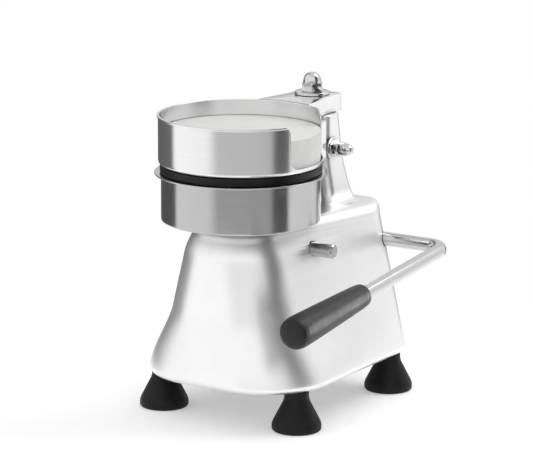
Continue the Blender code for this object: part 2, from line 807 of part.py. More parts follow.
def swivel_arm():
    """Cast arm: a flat bar over the column with a saddle that drops behind the paper holder.

    The saddle's back is hollowed on a radius about the pivot, so that it swings past the head
    of the clamp bolt.
    """
    neck_y = SADDLE_BACK_Y - 2.0
    neck_z = SADDLE_TOP_Z - 8.0
    outline = [
        (SADDLE_FRONT_Y, neck_z),
        (neck_y, neck_z),
        (neck_y, ARM_BOTTOM_Z),
        (ARM_REAR_Y + 2.0, ARM_BOTTOM_Z),
        (ARM_REAR_Y + 2.0, ARM_TOP_Z),
        (SADDLE_FRONT_Y, ARM_TOP_Z),
    ]
    bar = prism("swivel_arm", outline, -ARM_HALF_WIDTH - 2.0, ARM_HALF_WIDTH + 2.0, "X")
    combine(bar, prism("plan", arm_plan(), 220.0, 270.0, "Z"), "INTERSECT")
    saddle = block(
        "saddle",
        (-SADDLE_HALF_WIDTH, SADDLE_FRONT_Y - 2.0, LID_PLATE_BOTTOM_Z + 0.2),
        (SADDLE_HALF_WIDTH, SADDLE_BACK_Y, SADDLE_TOP_Z),
    )
    bevelled(bar, 1.4, 2)
    bevelled(saddle, 1.4, 2)
    fuse(bar, saddle)
    pivot = (0.0, PIVOT_Y)
    cut(
        bar,
        rod("clearance", CUP_LIP_R + 0.5, 200.0, 270.0, 80),
        rod("relief", RELIEF_R, 200.0, RELIEF_TOP_Z, 64, pivot),
        rod("bore", STUD_R + GAP, 235.0, 262.0, SMALL, pivot),
    )
    for x, z in lid_screw_places():
        cut(bar, rod("hole", LID_SCREW_R + GAP, 45.0, 90.0, TINY, (x, z), "Y"))
    return finish(bar, "cast_aluminium", LID_ORIGIN)


def pivot_post():
    """Post that turns in the column, with a groove for the clamp bolt and a stud on top."""
    groove_half = CLAMP_R + 0.6
    profile = [
        (0.0, POST_BOTTOM_Z + 1.0),
        (POST_R - 1.0, POST_BOTTOM_Z + 1.0),
        (POST_R, POST_BOTTOM_Z + 2.0),
        (POST_R, CLAMP_Z - groove_half - 1.0),
        (POST_NECK_R, CLAMP_Z - groove_half + 1.0),
        (POST_NECK_R, CLAMP_Z + groove_half - 1.0),
        (POST_R, CLAMP_Z + groove_half + 1.0),
        (POST_R, ARM_BOTTOM_Z - GAP),
        (STUD_R, ARM_BOTTOM_Z - GAP),
        (STUD_R, 269.0),
        (STUD_R - 0.8, 269.8),
        (0.0, 269.8),
    ]
    item = turned("pivot_post", profile, SMALL, (0.0, PIVOT_Y))
    return finish(item, "polished_steel", LID_ORIGIN)


def pivot_washer():
    """Wide washer between the arm and the acorn nut."""
    low = ARM_TOP_Z + GAP
    profile = [
        (STUD_R + GAP, low),
        (14.6, low),
        (15.0, low + 0.4),
        (15.0, low + 1.7),
        (14.4, low + 2.2),
        (STUD_R + GAP, low + 2.2),
    ]
    item = turned("pivot_washer", profile, 24, (0.0, PIVOT_Y))
    return finish(item, "polished_steel", LID_ORIGIN)


def pivot_acorn_nut():
    """Acorn nut that clamps the arm onto the post."""
    base = ARM_TOP_Z + GAP + 2.2 + GAP
    item = acorn_nut(
        "pivot_acorn_nut", 17.0, base, base + 7.0, 274.9, STUD_R + GAP, 270.4, (0.0, PIVOT_Y), "Z"
    )
    return finish(item, "polished_steel", LID_ORIGIN)


def lid_screw_places():
    """Positions, across and up, of the four screws through the saddle."""
    return [(x, z) for x in (-LID_SCREW_X, LID_SCREW_X) for z in LID_SCREW_Z]


def lid_screw(name, x, z):
    """Hexagon screw from behind the saddle: upper ones end in the paper holder's wall, lower
    ones in the rim of the upper press plate."""
    head_y = SADDLE_BACK_Y + GAP
    if z < LID_PLATE_TOP_Z:
        tip_y = math.sqrt(LID_PLATE_R**2 - x * x) - 5.5
    else:
        tip_y = math.sqrt((CUP_WALL_R - CUP_WALL) ** 2 - x * x) + 0.6
    shank = rod(name, LID_SCREW_R, tip_y, head_y + 2.0, TINY, (x, z), "Y")
    head = prism("head", hexagon(5.5, (x, z)), head_y, head_y + 3.0, "Z")
    head.data.transform(Matrix(((1, 0, 0, 0), (0, 0, 1, 0), (0, 1, 0, 0), (0, 0, 0, 1))))
    head.data.flip_normals()
    fuse(shank, head)
    return finish(shank, "plated_steel", LID_ORIGIN)


def lid_plate():
    """Black upper press plate that closes the mould."""
    low = LID_PLATE_BOTTOM_Z
    high = LID_PLATE_TOP_Z
    profile = [
        (0.0, low),
        (LID_PLATE_R - 0.8, low),
        (LID_PLATE_R, low + 0.8),
        (LID_PLATE_R, high - 0.8),
        (LID_PLATE_R - 0.8, high),
        (0.0, high),
    ]
    plate = turned("upper_press_plate", profile, RING)
    for x, y in floor_screw_places():
        cut(plate, rod("hole", FLOOR_SCREW_R + GAP, high - 4.5, high + 2.0, TINY, (x, y)))
    for x, z in lid_screw_places():
        if z < high:
            tip_y = math.sqrt(LID_PLATE_R**2 - x * x) - 6.0
            cut(plate, rod("hole", LID_SCREW_R + GAP, tip_y, 90.0, TINY, (x, z), "Y"))
    return finish(plate, "black_plate", LID_ORIGIN)


def floor_screw_places():
    """Plan positions of the screws between paper holder and upper plate."""
    return circle_places(FLOOR_SCREW_PCR, 30.0)


def lid_plate_screw(name, x, y):
    """Low-head screw through the paper holder's floor into the upper plate."""
    floor_top = CUP_FLOOR_Z + CUP_WALL
    profile = [
        (0.0, LID_PLATE_TOP_Z - 4.0),
        (FLOOR_SCREW_R, LID_PLATE_TOP_Z - 4.0),
        (FLOOR_SCREW_R, floor_top + GAP),
        (4.4, floor_top + GAP),
        (4.0, floor_top + 1.2),
        (0.0, floor_top + 1.3),
    ]
    return finish(turned(name, profile, TINY, (x, y)), "plated_steel", LID_ORIGIN)


def paper_magazine():
    """Open steel cup for the paper discs, with a rolled lip and a finger notch."""
    r = CUP_WALL_R
    corner = CUP_CORNER_R
    inner_r = r - CUP_WALL
    inner_corner = corner - CUP_WALL
    floor = CUP_FLOOR_Z
    profile = [(0.0, floor)]
    for k in range(4):
        angle = math.radians(-90.0 + 30.0 * k)
        x = r - corner + corner * math.cos(angle)
        z = floor + corner + corner * math.sin(angle)
        profile.append((x, z))
    profile.append((r, CUP_RIM_Z - 1.8))
    profile.append((CUP_LIP_R, CUP_RIM_Z - 1.2))
    profile.append((CUP_LIP_R, CUP_RIM_Z - 0.5))
    profile.append((CUP_LIP_R - 0.7, CUP_RIM_Z))
    profile.append((inner_r, CUP_RIM_Z))
    for k in range(4):
        angle = math.radians(-30.0 * k)
        x = r - corner + inner_corner * math.cos(angle)
        z = floor + corner + inner_corner * math.sin(angle)
        profile.append((x, z))
    profile.append((0.0, floor + CUP_WALL))
    cup = turned("paper_magazine", profile, RING)
    cut(cup, notch_cutter())
    for x, z in lid_screw_places():
        if z > floor:
            cut(cup, rod("hole", LID_SCREW_R + GAP, 45.0, 90.0, TINY, (x, z), "Y"))
    for x, y in floor_screw_places():
        cut(cup, rod("hole", FLOOR_SCREW_R + GAP, floor - 2.0, floor + 4.0, TINY, (x, y)))
    return finish(cup, "brushed_stainless", LID_ORIGIN)


def notch_cutter():
    """Wedge-shaped tool for the finger notch: rounded foot corners, flared mouth corners."""
    r = CUP_WALL_R
    foot_r = NOTCH_FOOT_R
    mouth_r = NOTCH_MOUTH_R
    low = NOTCH_SILL_Z
    high = CUP_RIM_Z
    width = math.radians(NOTCH_TO_DEG - NOTCH_FROM_DEG) * r
    half = []
    for centre_x, centre_z, radius, start, step in (
        (width / 2 - foot_r, low + foot_r, foot_r, -90.0, 22.5),
        (width / 2 + mouth_r, high - mouth_r, mouth_r, 180.0, -22.5),
    ):
        for k in range(5):
            angle = math.radians(start + step * k)
            half.append((centre_x + radius * math.cos(angle), centre_z + radius * math.sin(angle)))
    half.append((width / 2 + mouth_r, high + 6.0))
    middle = math.radians((NOTCH_FROM_DEG + NOTCH_TO_DEG) / 2.0)
    columns = [(-x, z) for x, z in half] + [(x, z) for x, z in reversed(half)]
    work = bmesh.new()
    shells = []
    for radius in (r - 9.0, r + 25.0):
        shell = []
        for along, z in columns:
            angle = middle + along / r
            shell.append(work.verts.new(mm(radius * math.cos(angle), radius * math.sin(angle), z)))
        shells.append(shell)
    count = len(columns)
    for i in range(count):
        j = (i + 1) % count
        work.faces.new((shells[0][i], shells[0][j], shells[1][j], shells[1][i]))
    bands = count // 2
    for shell in shells:
        for i in range(bands - 1):
            work.faces.new((shell[i], shell[i + 1], shell[count - 2 - i], shell[count - 1 - i]))
    bmesh.ops.triangulate(work, faces=work.faces)
    return object_from_bmesh("notch", work)


def paper_disc_stack():
    """Stack of round wax-paper discs in the cup."""
    low = CUP_FLOOR_Z + CUP_WALL + 1.8
    profile = [(0.0, low), (PAPER_R, low), (PAPER_R, PAPER_TOP_Z), (0.0, PAPER_TOP_Z)]
    return finish(turned("paper_disc_stack", profile, RING), "wax_paper")


# ---- lever and crank ---------------------------------------------------------------------------
def arm_direction():
    """Unit vector from the lever shaft along the lever's arm, in its rest pose."""
    drop = math.radians(LEVER_DROP_DEG)
    return Vector((0.0, -math.cos(drop), -math.sin(drop)))


def lever_rod():
    """Bent round bar: the straight shaft, a tight elbow and the arm that carries the grip."""
    shaft_dir = Vector((1.0, 0.0, 0.0))
    arm_dir = arm_direction()
    corner = mm(ARM_X, SHAFT_Y, SHAFT_Z)
    bend = ELBOW_R * MM
    start = mm(SHAFT_LEFT_X, SHAFT_Y, SHAFT_Z)
    stations = [(start, shaft_dir, ROD_R - 0.8), (start + shaft_dir * 0.8 * MM, shaft_dir, ROD_R)]
    for x in (-41.0, 41.0):
        stations.append((mm(x, SHAFT_Y, SHAFT_Z), shaft_dir, ROD_R))
    centre = corner - shaft_dir * bend + arm_dir * bend
    steps = 10
    for k in range(steps + 1):
        angle = math.radians(90.0) * k / steps
        point = centre - arm_dir * bend * math.cos(angle) + shaft_dir * bend * math.sin(angle)
        heading = shaft_dir * math.cos(angle) + arm_dir * math.sin(angle)
        stations.append((point, heading, ROD_R))
    end = corner + arm_dir * (LEVER_LENGTH - 12.0) * MM
    stations.append((end, arm_dir, ROD_R))
    stations.append((end + arm_dir * 1.2 * MM, arm_dir, ROD_R - 1.2))
    across = shaft_dir.cross(arm_dir)
    rings = []
    for point, heading, radius in stations:
        side = across.cross(heading)
        ring = []
        for k in range(16):
            angle = 2.0 * math.pi * k / 16
            offset = side * math.cos(angle) + across * math.sin(angle)
            ring.append(point + offset * radius * MM)
        rings.append(ring)
    bar = loft("lever_rod", rings)
    cut(bar, rod("hole", CRANK_KEY_R + GAP, SHAFT_Z - 20.0, SHAFT_Z + 20.0, TINY, (0.0, SHAFT_Y)))
    axis_at = (SHAFT_Y, SHAFT_Z)
    for low in (SHAFT_RING_X - GAP, -SHAFT_RING_X - SNAP_RING_T - GAP):
        cut(bar, tube("groove", ROD_R + 3.0, ROD_R - 0.7, low, low + 1.7, SMALL, axis_at, "X"))
    return finish(bar, "polished_steel", (ARM_X, SHAFT_Y, SHAFT_Z))


def hand_grip():
    """Tapered black grip with a rounded outer end and a blind hole for the bar."""
    inner = LEVER_LENGTH - GRIP_LENGTH
    outer = LEVER_LENGTH
    hole = ROD_R + GAP
    profile = [
        (0.0, outer - 9.5),
        (hole, outer - 10.0),
        (hole, inner),
        (8.4, inner),
        (9.6, inner + 1.6),
        (10.2, inner + 8.0),
        (11.0, inner + 28.0),
        (12.0, inner + 54.0),
        (12.9, inner + 80.0),
        (13.4, inner + 95.0),
        (13.3, inner + 101.0),
        (12.6, inner + 105.0),
        (11.0, inner + 107.4),
        (8.6, outer),
        (4.5, outer + 0.7),
        (0.0, outer + 0.9),
    ]
    grip = turned("hand_grip", profile, 20)
    tilt = Vector((0.0, 0.0, 1.0)).rotation_difference(arm_direction()).to_matrix().to_4x4()
    grip.data.transform(tilt)
    grip.data.transform(Matrix.Translation(mm(ARM_X, SHAFT_Y, SHAFT_Z)))
    return finish(grip, "black_grip", (ARM_X, SHAFT_Y, SHAFT_Z))


def crank_pin_place():
    """Where the crank pin stands at rest, as (y, z)."""
    to_fulcrum = Vector((FULCRUM_Y - SHAFT_Y, FULCRUM_Z - SHAFT_Z)).normalized()
    downwards = Vector((to_fulcrum.y, -to_fulcrum.x))
    if downwards.y > 0.0:
        downwards = -downwards
    angle = math.radians(LEVER_TRAVEL_DEG / 2.0)
    reach = to_fulcrum * math.cos(angle) + downwards * math.sin(angle)
    return (SHAFT_Y + CRANK_R * reach.x, SHAFT_Z + CRANK_R * reach.y)


def crank_arm():
    """Crank keyed to the shaft, with its cross pin for the rocker's rear fork."""
    pin_y, pin_z = crank_pin_place()
    centre = (SHAFT_Y, SHAFT_Z)
    arm = rod("crank_arm", 10.4, -5.6, 5.6, 24, centre, "X")
    direction = Vector((pin_y - SHAFT_Y, pin_z - SHAFT_Z)).normalized()
    normal = Vector((-direction.y, direction.x))
    outline = []
    for reach, half in ((0.0, 9.6), (CRANK_R, 7.2), (CRANK_R, -7.2), (0.0, -9.6)):
        point = Vector(centre) + direction * reach + normal * half
        outline.append((point.x, point.y))
    fuse(arm, prism("web", outline, -5.3, 5.3, "X"))
    fuse(arm, rod("eye", 7.6, -5.5, 5.5, SMALL, (pin_y, pin_z), "X"))
    fuse(arm, rod("pin", CRANK_PIN_R, -12.5, 12.5, SMALL, (pin_y, pin_z), "X", 0.6))
    cut(arm, rod("bore", ROD_R + GAP, -20.0, 20.0, SMALL, centre, "X"))
    cut(arm, rod("hole", CRANK_KEY_R + GAP, SHAFT_Z - 20.0, SHAFT_Z + 20.0, TINY, (0.0, SHAFT_Y)))
    return finish(arm, "plated_steel", (0.0, SHAFT_Y, SHAFT_Z))


def crank_key():
    """Straight pin through crank and shaft."""
    low = SHAFT_Z - 10.6
    high = SHAFT_Z + 10.6
    item = rod("crank_key", CRANK_KEY_R, low, high, TINY, (0.0, SHAFT_Y), "Z", 0.4)
    return finish(item, "plated_steel", (0.0, SHAFT_Y, SHAFT_Z))


def shaft_rings():
    """Retaining rings on the lever shaft, just inside the two bushes."""
    centre = (SHAFT_Y, SHAFT_Z)
    left = -SHAFT_RING_X - SNAP_RING_T
    return [
        snap_ring("shaft_ring_left", left, centre, (0.0, SHAFT_Y, SHAFT_Z)),
        snap_ring("shaft_ring_right", SHAFT_RING_X, centre, (0.0, SHAFT_Y, SHAFT_Z)),
    ]


# ---- rocker and piston -------------------------------------------------------------------------
def along_rocker(angle_deg, reach, side=0.0):
    """Point (y, z) at a reach from the fulcrum along a direction measured up from +Y."""
    angle = math.radians(angle_deg)
    y = FULCRUM_Y + reach * math.cos(angle) - side * math.sin(angle)
    z = FULCRUM_Z + reach * math.sin(angle) + side * math.cos(angle)
    return (y, z)


def slot_outline(angle_deg, near, far, half):
    """Rounded slot outline between two reaches from the fulcrum."""
    points = []
    for reach, start in ((far, -90.0), (near, 90.0)):
        for k in range(9):
            turn = math.radians(start + 22.5 * k)
            along = reach + half * math.cos(turn)
            points.append(along_rocker(angle_deg, along, half * math.sin(turn)))
    return points


def rocker_arm():
    """Rocker on the fulcrum pin: a slotted fork at each end and a long hub tube."""
    front = 180.0 - ROCKER_FRONT_DEG
    rear = ROCKER_REAR_DEG
    wide = ROCKER_HALF_WIDTH
    hub = ROCKER_HUB_HALF
    centre = (FULCRUM_Y, FULCRUM_Z)
    tail = slot_outline(rear, 0.0, CRANK_SLOT_FAR, CRANK_SLOT_HALF + CRANK_SLOT_RIM)
    nose = slot_outline(front, 0.0, PISTON_SLOT_FAR, PISTON_SLOT_HALF + PISTON_SLOT_RIM)
    arm = prism("rocker_arm", tail, -wide, wide)
    fuse(arm, prism("nose", nose, -wide + 0.2, wide - 0.2))
    fuse(arm, rod("hub", ROCKER_HUB_R, -hub, hub, SMALL, centre, "X"))
    rear_slot = slot_outline(rear, CRANK_SLOT_NEAR, CRANK_SLOT_FAR, CRANK_SLOT_HALF)
    front_slot = slot_outline(front, PISTON_SLOT_NEAR, PISTON_SLOT_FAR, PISTON_SLOT_HALF)
    rear_gap = slot_outline(rear, 50.0, 95.0, 16.0)
    front_gap = slot_outline(front, 30.0, 55.0, 13.0)
    cut(
        arm,
        prism("slot", rear_slot, -20.0, 20.0),
        prism("slot", front_slot, -20.0, 20.0),
        prism("gap", rear_gap, -6.3, 6.3),
        prism("gap", front_gap, -6.6, 6.6),
        rod("bore", ROCKER_BUSH_R + GAP, -60.0, 60.0, SMALL, centre, "X"),
    )
    return finish(arm, "plated_steel", (0.0, FULCRUM_Y, FULCRUM_Z))


def rocker_bush():
    """Bronze bush inside the rocker's hub."""
    half = ROCKER_HUB_HALF
    centre = (FULCRUM_Y, FULCRUM_Z)
    item = tube("rocker_bush", ROCKER_BUSH_R, PIN_R + 0.2, -half, half, SMALL, centre, "X")
    return finish(item, "bronze", (0.0, FULCRUM_Y, FULCRUM_Z))


def piston_pin_z():
    """Height of the pin that joins piston rod and rocker, at rest."""
    return FULCRUM_Z + FULCRUM_Y * math.tan(math.radians(ROCKER_FRONT_DEG))


def piston_rod():
    """Round piston rod: two flats for the rocker's fork below, a spigot for the plate above."""
    pin_z = piston_pin_z()
    top = PLATE_REST_Z - GAP
    profile = [
        (0.0, pin_z - 7.0),
        (PISTON_R - 1.0, pin_z - 7.0),
        (PISTON_R, pin_z - 6.0),
        (PISTON_R, top),
        (4.7, top),
        (4.7, top + 5.0),
        (0.0, top + 5.0),
    ]
    item = turned("piston_rod", profile, SMALL)
    for side in (-1.0, 1.0):
        low_x, high_x = sorted((side * 6.2, side * 12.0))
        cut(item, block("flat", (low_x, -12.0, pin_z - 12.0), (high_x, 12.0, pin_z + 12.0)))
    cut(item, rod("hole", PISTON_PIN_R + GAP, -20.0, 20.0, TINY, (0.0, pin_z), "X"))
    cut(item, rod("thread", PLATE_SCREW_R + GAP, top - 12.0, top + 8.0, TINY))
    return finish(item, "polished_steel")


def piston_pin():
    """Cross pin through the piston rod's tang and both cheeks of the rocker."""
    item = rod("piston_pin", PISTON_PIN_R, -13.0, 13.0, TINY, (0.0, piston_pin_z()), "X", 0.5)
    return finish(item, "plated_steel")


def lower_press_plate():
    """Lower press plate: the piston face of the mould, with a screw in its centre."""
    low = PLATE_REST_Z
    high = low + PLATE_T
    profile = [
        (5.0, low),
        (PLATE_R - 0.8, low),
        (PLATE_R, low + 0.8),
        (PLATE_R, high - 0.8),
        (PLATE_R - 0.8, high),
        (5.4, high),
        (5.4, high - 2.4),
        (PLATE_SCREW_R + GAP, high - 2.4),
        (PLATE_SCREW_R + GAP, low + 5.0 + 0.2),
        (5.0, low + 5.0 + 0.2),
    ]
    return finish(turned("lower_press_plate", profile, RING), "turned_aluminium")


def plate_screw():
    """Flat-head screw that holds the plate on the piston rod."""
    high = PLATE_REST_Z + PLATE_T
    profile = [
        (0.0, high - 14.0),
        (PLATE_SCREW_R, high - 14.0),
        (PLATE_SCREW_R, high - 2.1),
        (5.0, high - 2.1),
        (5.0, high - 0.2),
        (0.0, high - 0.2),
    ]
    return finish(turned("plate_screw", profile, SMALL), "plated_steel")


# ---- assembly ----------------------------------------------------------------------------------
def centre_on_origin(items):
    """Slide every piece so that the whole press stands centred on the world origin."""
    bpy.context.view_layer.update()
    corners = []
    for item in items:
        corners.extend(item.matrix_world @ vertex.co for vertex in item.data.vertices)
    shift = Vector((0.0, 0.0, 0.0))
    for axis in (0, 1):
        values = [corner[axis] for corner in corners]
        shift[axis] = -0.5 * (min(values) + max(values))
    for item in items:
        item.location += shift
    print("centre shift in metres:", tuple(round(value, 6) for value in shift))


def build():
    """Make every piece of the press."""
    for item in list(bpy.data.objects):
        bpy.data.objects.remove(item, do_unlink=True)
    items = [body_casting(), mould_ring(), guide_bush()]
    corners = ("front_left", "front_right", "rear_left", "rear_right")
    for corner, (x, y) in zip(corners, foot_places()):
        items.append(foot(f"foot_{corner}", x, y))
        items.append(foot_bolt(f"foot_bolt_{corner}", x, y))
    for number, (x, y) in enumerate(mould_screw_places(), 1):
        items.append(mould_screw(f"mould_screw_{number}", x, y))
    items += [shaft_bush("shaft_bush_right", 1.0), shaft_bush("shaft_bush_left", -1.0)]
    items += [fulcrum_pin(), *fulcrum_rings()]
    items += [clamp_bolt(), clamp_washer("clamp_washer_left", -1.0)]
    items += [clamp_washer("clamp_washer_right", 1.0), clamp_acorn_nut(), thrust_washer()]
    items += [swivel_arm(), pivot_post(), pivot_washer(), pivot_acorn_nut()]
    for number, (x, z) in enumerate(lid_screw_places(), 1):
        items.append(lid_screw(f"lid_screw_{number}", x, z))
    for number, (x, y) in enumerate(floor_screw_places(), 1):
        items.append(lid_plate_screw(f"lid_plate_screw_{number}", x, y))
    items += [lid_plate(), paper_magazine(), paper_disc_stack()]
    items += [lever_rod(), hand_grip(), crank_arm(), crank_key(), *shaft_rings()]
    items += [rocker_arm(), rocker_bush(), piston_rod(), piston_pin()]
    items += [lower_press_plate(), plate_screw()]
    centre_on_origin(items)


build()
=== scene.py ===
"""Looks of the hand patty press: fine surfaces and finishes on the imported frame, studio, camera."""
import json
import math

import bmesh
import bpy
from mathutils import Matrix, Quaternion, Vector


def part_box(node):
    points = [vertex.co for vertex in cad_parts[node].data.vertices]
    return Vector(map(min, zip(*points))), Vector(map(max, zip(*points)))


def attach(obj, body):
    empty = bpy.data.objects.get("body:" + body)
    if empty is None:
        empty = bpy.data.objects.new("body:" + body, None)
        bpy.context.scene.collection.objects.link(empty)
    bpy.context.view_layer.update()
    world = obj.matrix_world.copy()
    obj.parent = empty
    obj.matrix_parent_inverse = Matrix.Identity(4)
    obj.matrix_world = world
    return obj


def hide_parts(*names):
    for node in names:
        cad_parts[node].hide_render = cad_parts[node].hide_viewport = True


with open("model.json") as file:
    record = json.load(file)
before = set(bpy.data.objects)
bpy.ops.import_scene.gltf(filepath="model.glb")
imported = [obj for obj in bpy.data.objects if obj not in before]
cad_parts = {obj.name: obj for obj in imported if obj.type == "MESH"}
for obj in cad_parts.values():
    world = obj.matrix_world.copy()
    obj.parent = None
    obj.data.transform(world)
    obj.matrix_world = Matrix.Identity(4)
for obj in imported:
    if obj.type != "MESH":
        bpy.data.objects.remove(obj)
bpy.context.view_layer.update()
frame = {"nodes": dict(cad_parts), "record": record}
RECORD = frame["record"]
BODY_OF = {n: body for body, nodes in RECORD["behaviour"]["bodies"].items() for n in nodes}
SLOT_OF = {row["node"]: row["material_slot"] for row in RECORD["subparts"]}

MM = 0.001
WELD = 2e-6
RING_SEGMENTS = 192
SMALL_SEGMENTS = 64


# ---- places, read from the frame ---------------------------------------------------------------
def middle(node):
    """Centre of a node's box, in metres."""
    low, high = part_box(node)
    return (low + high) / 2.0


ORIGIN = Vector((middle("mould_ring").x, middle("mould_ring").y, 0.0))


def at(x, y, z):
    """World point, in metres, from millimetres in the press's own frame: mould axis, floor."""
    return ORIGIN + Vector((x, y, z)) * MM


def span(node, axis):
    """Low and high end of a node along axis 0, 1 or 2, in millimetres in the press's own frame."""
    low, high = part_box(node)
    return ((low[axis] - ORIGIN[axis]) / MM, (high[axis] - ORIGIN[axis]) / MM)


def centre_mm(node):
    """Centre of a node's box in millimetres in the press's own frame."""
    return (middle(node) - ORIGIN) / MM


# ---- mesh helpers ------------------------------------------------------------------------------
def lerp(a, b, t):
    """Linear blend of two numbers."""
    return a + (b - a) * t


def smoothstep(t):
    """Ease from 0 to 1 with level ends."""
    t = min(max(t, 0.0), 1.0)
    return t * t * (3.0 - 2.0 * t)


def add_object(name, work, smooth_deg=35.0):
    """Turn a closed bmesh into a smooth-shaded object with outward normals."""
    bmesh.ops.remove_doubles(work, verts=work.verts, dist=WELD)
    bmesh.ops.recalc_face_normals(work, faces=work.faces)
    mesh = bpy.data.meshes.new(name)
    work.to_mesh(mesh)
    work.free()
    item = bpy.data.objects.new(name, mesh)
    bpy.context.scene.collection.objects.link(item)
    shade(item, smooth_deg)
    return item


def shade(item, smooth_deg=35.0):
    """Smooth shading that breaks at edges sharper than smooth_deg."""
    item.data.shade_smooth()
    item.data.set_sharp_from_angle(angle=math.radians(smooth_deg))


def loft(name, rings):
    """Skin equal-length rings of points and cap both ends."""
    work = bmesh.new()
    rows = [[work.verts.new(point) for point in ring] for ring in rings]
    count = len(rows[0])
    for lower, upper in zip(rows, rows[1:]):
        for i in range(count):
            j = (i + 1) % count
            work.faces.new((lower[i], lower[j], upper[j], upper[i]))
    bmesh.ops.triangulate(work, faces=work.faces)
    work.faces.new(list(reversed(rows[0])))
    work.faces.new(rows[-1])
    return add_object(name, work)


def rounded(points, closed=True, steps=4):
    """Outline with its corners rounded; each point is (a, b) or (a, b, corner radius)."""
    made = []
    count = len(points)
    for i, point in enumerate(points):
        here = Vector(point[:2])
        radius = point[2] if len(point) > 2 else 0.0
        if radius <= 0.0 or (not closed and i in (0, count - 1)):
            made.append(tuple(here))
            continue
        back = Vector(points[i - 1][:2]) - here
        ahead = Vector(points[(i + 1) % count][:2]) - here
        turn = back.angle(ahead)
        reach = min(radius / math.tan(turn / 2.0), 0.48 * back.length, 0.48 * ahead.length)
        start = here + back.normalized() * reach
        end = here + ahead.normalized() * reach
        for k in range(steps + 1):
            t = k / steps
            curve = start * (1.0 - t) ** 2 + here * 2.0 * t * (1.0 - t) + end * t * t
            made.append(tuple(curve))
    return made


def turned(name, profile, segments=SMALL_SEGMENTS, centre=(0.0, 0.0), axis="Z", steps=4):
    """Revolve an outline of (radius, height, corner radius) points and stand it along an axis.

    An outline that starts and ends on the axis is open there; any other is closed.
    """
    solid = profile[0][0] <= 0.0
    outline = rounded(profile, closed=not solid, steps=steps)
    work = bmesh.new()
    rows = []
    for r, height in outline:
        if r <= 1e-6:
            rows.append([work.verts.new(place(0.0, 0.0, height, centre, axis))] * segments)
            continue
        row = []
        for k in range(segments):
            angle = 2.0 * math.pi * k / segments
            across = (r * math.cos(angle), r * math.sin(angle))
            row.append(work.verts.new(place(*across, height, centre, axis)))
        rows.append(row)
    pairs = list(zip(rows, rows[1:]))
    if not solid:
        pairs.append((rows[-1], rows[0]))
    for lower, upper in pairs:
        for i in range(segments):
            j = (i + 1) % segments
            corners = list(dict.fromkeys((lower[i], lower[j], upper[j], upper[i])))
            if len(corners) > 2:
                work.faces.new(corners)
    return add_object(name, work)


def place(a, b, height, centre, axis):
    """Point at (a, b) across an axis and height along it; centre is where the axis stands."""
    if axis == "X":
        return at(height, centre[0] + a, centre[1] + b)
    if axis == "Y":
        return at(centre[0] + a, height, centre[1] + b)
    return at(centre[0] + a, centre[1] + b, height)


def rod(name, radius, low, high, segments=SMALL_SEGMENTS, centre=(0.0, 0.0), axis="Z"):
    """Plain cylinder, used for holes and bosses."""
    profile = [(0.0, low), (radius, low), (radius, high), (0.0, high)]
    return turned(name, profile, segments, centre, axis)


def prism(name, outline, low, high, axis="X"):
    """Extrude a closed outline along X (outline in Y, Z) or Z (outline in X, Y)."""
    rings = []
    for level in (low, high):
        if axis == "X":
            rings.append([at(level, a, b) for a, b in outline])
        else:
            rings.append([at(a, b, level) for a, b in outline])
    return loft(name, rings)


def combine(base, tool, operation):
    """Apply one exact Boolean to base and remove the tool."""
    step = base.modifiers.new("combine", "BOOLEAN")
    step.operation = operation
    step.solver = "EXACT"
    step.object = tool
    graph = bpy.context.evaluated_depsgraph_get()
    result = bpy.data.meshes.new_from_object(base.evaluated_get(graph))
    base.modifiers.clear()
    work = bmesh.new()
    work.from_mesh(result)
    bmesh.ops.remove_doubles(work, verts=work.verts, dist=WELD)
    work.to_mesh(result)
    work.free()
    base.data = result
    bpy.data.objects.remove(tool, do_unlink=True)


def cut(base, *tools):
    """Take each tool's volume out of base."""
    for tool in tools:
        combine(base, tool, "DIFFERENCE")
    shade(base)


def fuse(base, *tools):
    """Join each tool's volume to base."""
    for tool in tools:
        combine(base, tool, "UNION")
    shade(base)


def bevelled(item, width, segments=4, angle_deg=35.0):
    """Round the sharp edges of an object."""
    work = bmesh.new()
    work.from_mesh(item.data)
    limit = math.radians(angle_deg)
    edges = [e for e in work.edges if len(e.link_faces) == 2 and e.calc_face_angle() > limit]
    bmesh.ops.bevel(
        work,
        geom=edges,
        offset=width * MM,
        segments=segments,
        profile=0.5,
        affect="EDGES",
        clamp_overlap=True,
    )
    work.to_mesh(item.data)
    work.free()
    shade(item)
    return item


def soften(item, width, angle_deg=35.0):
    """Fine bevel that catches the light along an object's edges."""
    step = item.modifiers.new("edges", "BEVEL")
    step.width = width * MM
    step.segments = 3
    step.limit_method = "ANGLE"
    step.angle_limit = math.radians(angle_deg)
    step.harden_normals = True
    step.use_clamp_overlap = True
    return item


def hexagon(flats, turn_deg=0.0):
    """Outline of a hexagon given its width across flats."""
    reach = flats / 2.0 / math.cos(math.radians(30.0))
    turns = [math.radians(turn_deg + 60.0 * k) for k in range(6)]
    return [(reach * math.cos(a), reach * math.sin(a)) for a in turns]


# ---- shader helpers ----------------------------------------------------------------------------
def node(tree, kind, props=None, inputs=None):
    """Add one node; inputs maps a socket's name or index to a value or to an output socket."""
    made = tree.nodes.new(kind)
    for key, value in (props or {}).items():
        setattr(made, key, value)
    for key, value in (inputs or {}).items():
        if isinstance(value, bpy.types.NodeSocket):
            tree.links.new(value, made.inputs[key])
        else:
            made.inputs[key].default_value = value
    return made


def principled(name, metallic, extra=None):
    """New material: its node tree and its Principled shader, with fixed values set on the shader."""
    material = bpy.data.materials.new(name)
    material.use_nodes = True
    tree = material.node_tree
    shader = tree.nodes["Principled BSDF"]
    shader.inputs["Metallic"].default_value = metallic
    for key, value in (extra or {}).items():
        shader.inputs[key].default_value = value
    return material, tree, shader


def object_place(tree):
    """Position on the object, in metres."""
    return node(tree, "ShaderNodeTexCoord").outputs["Object"]


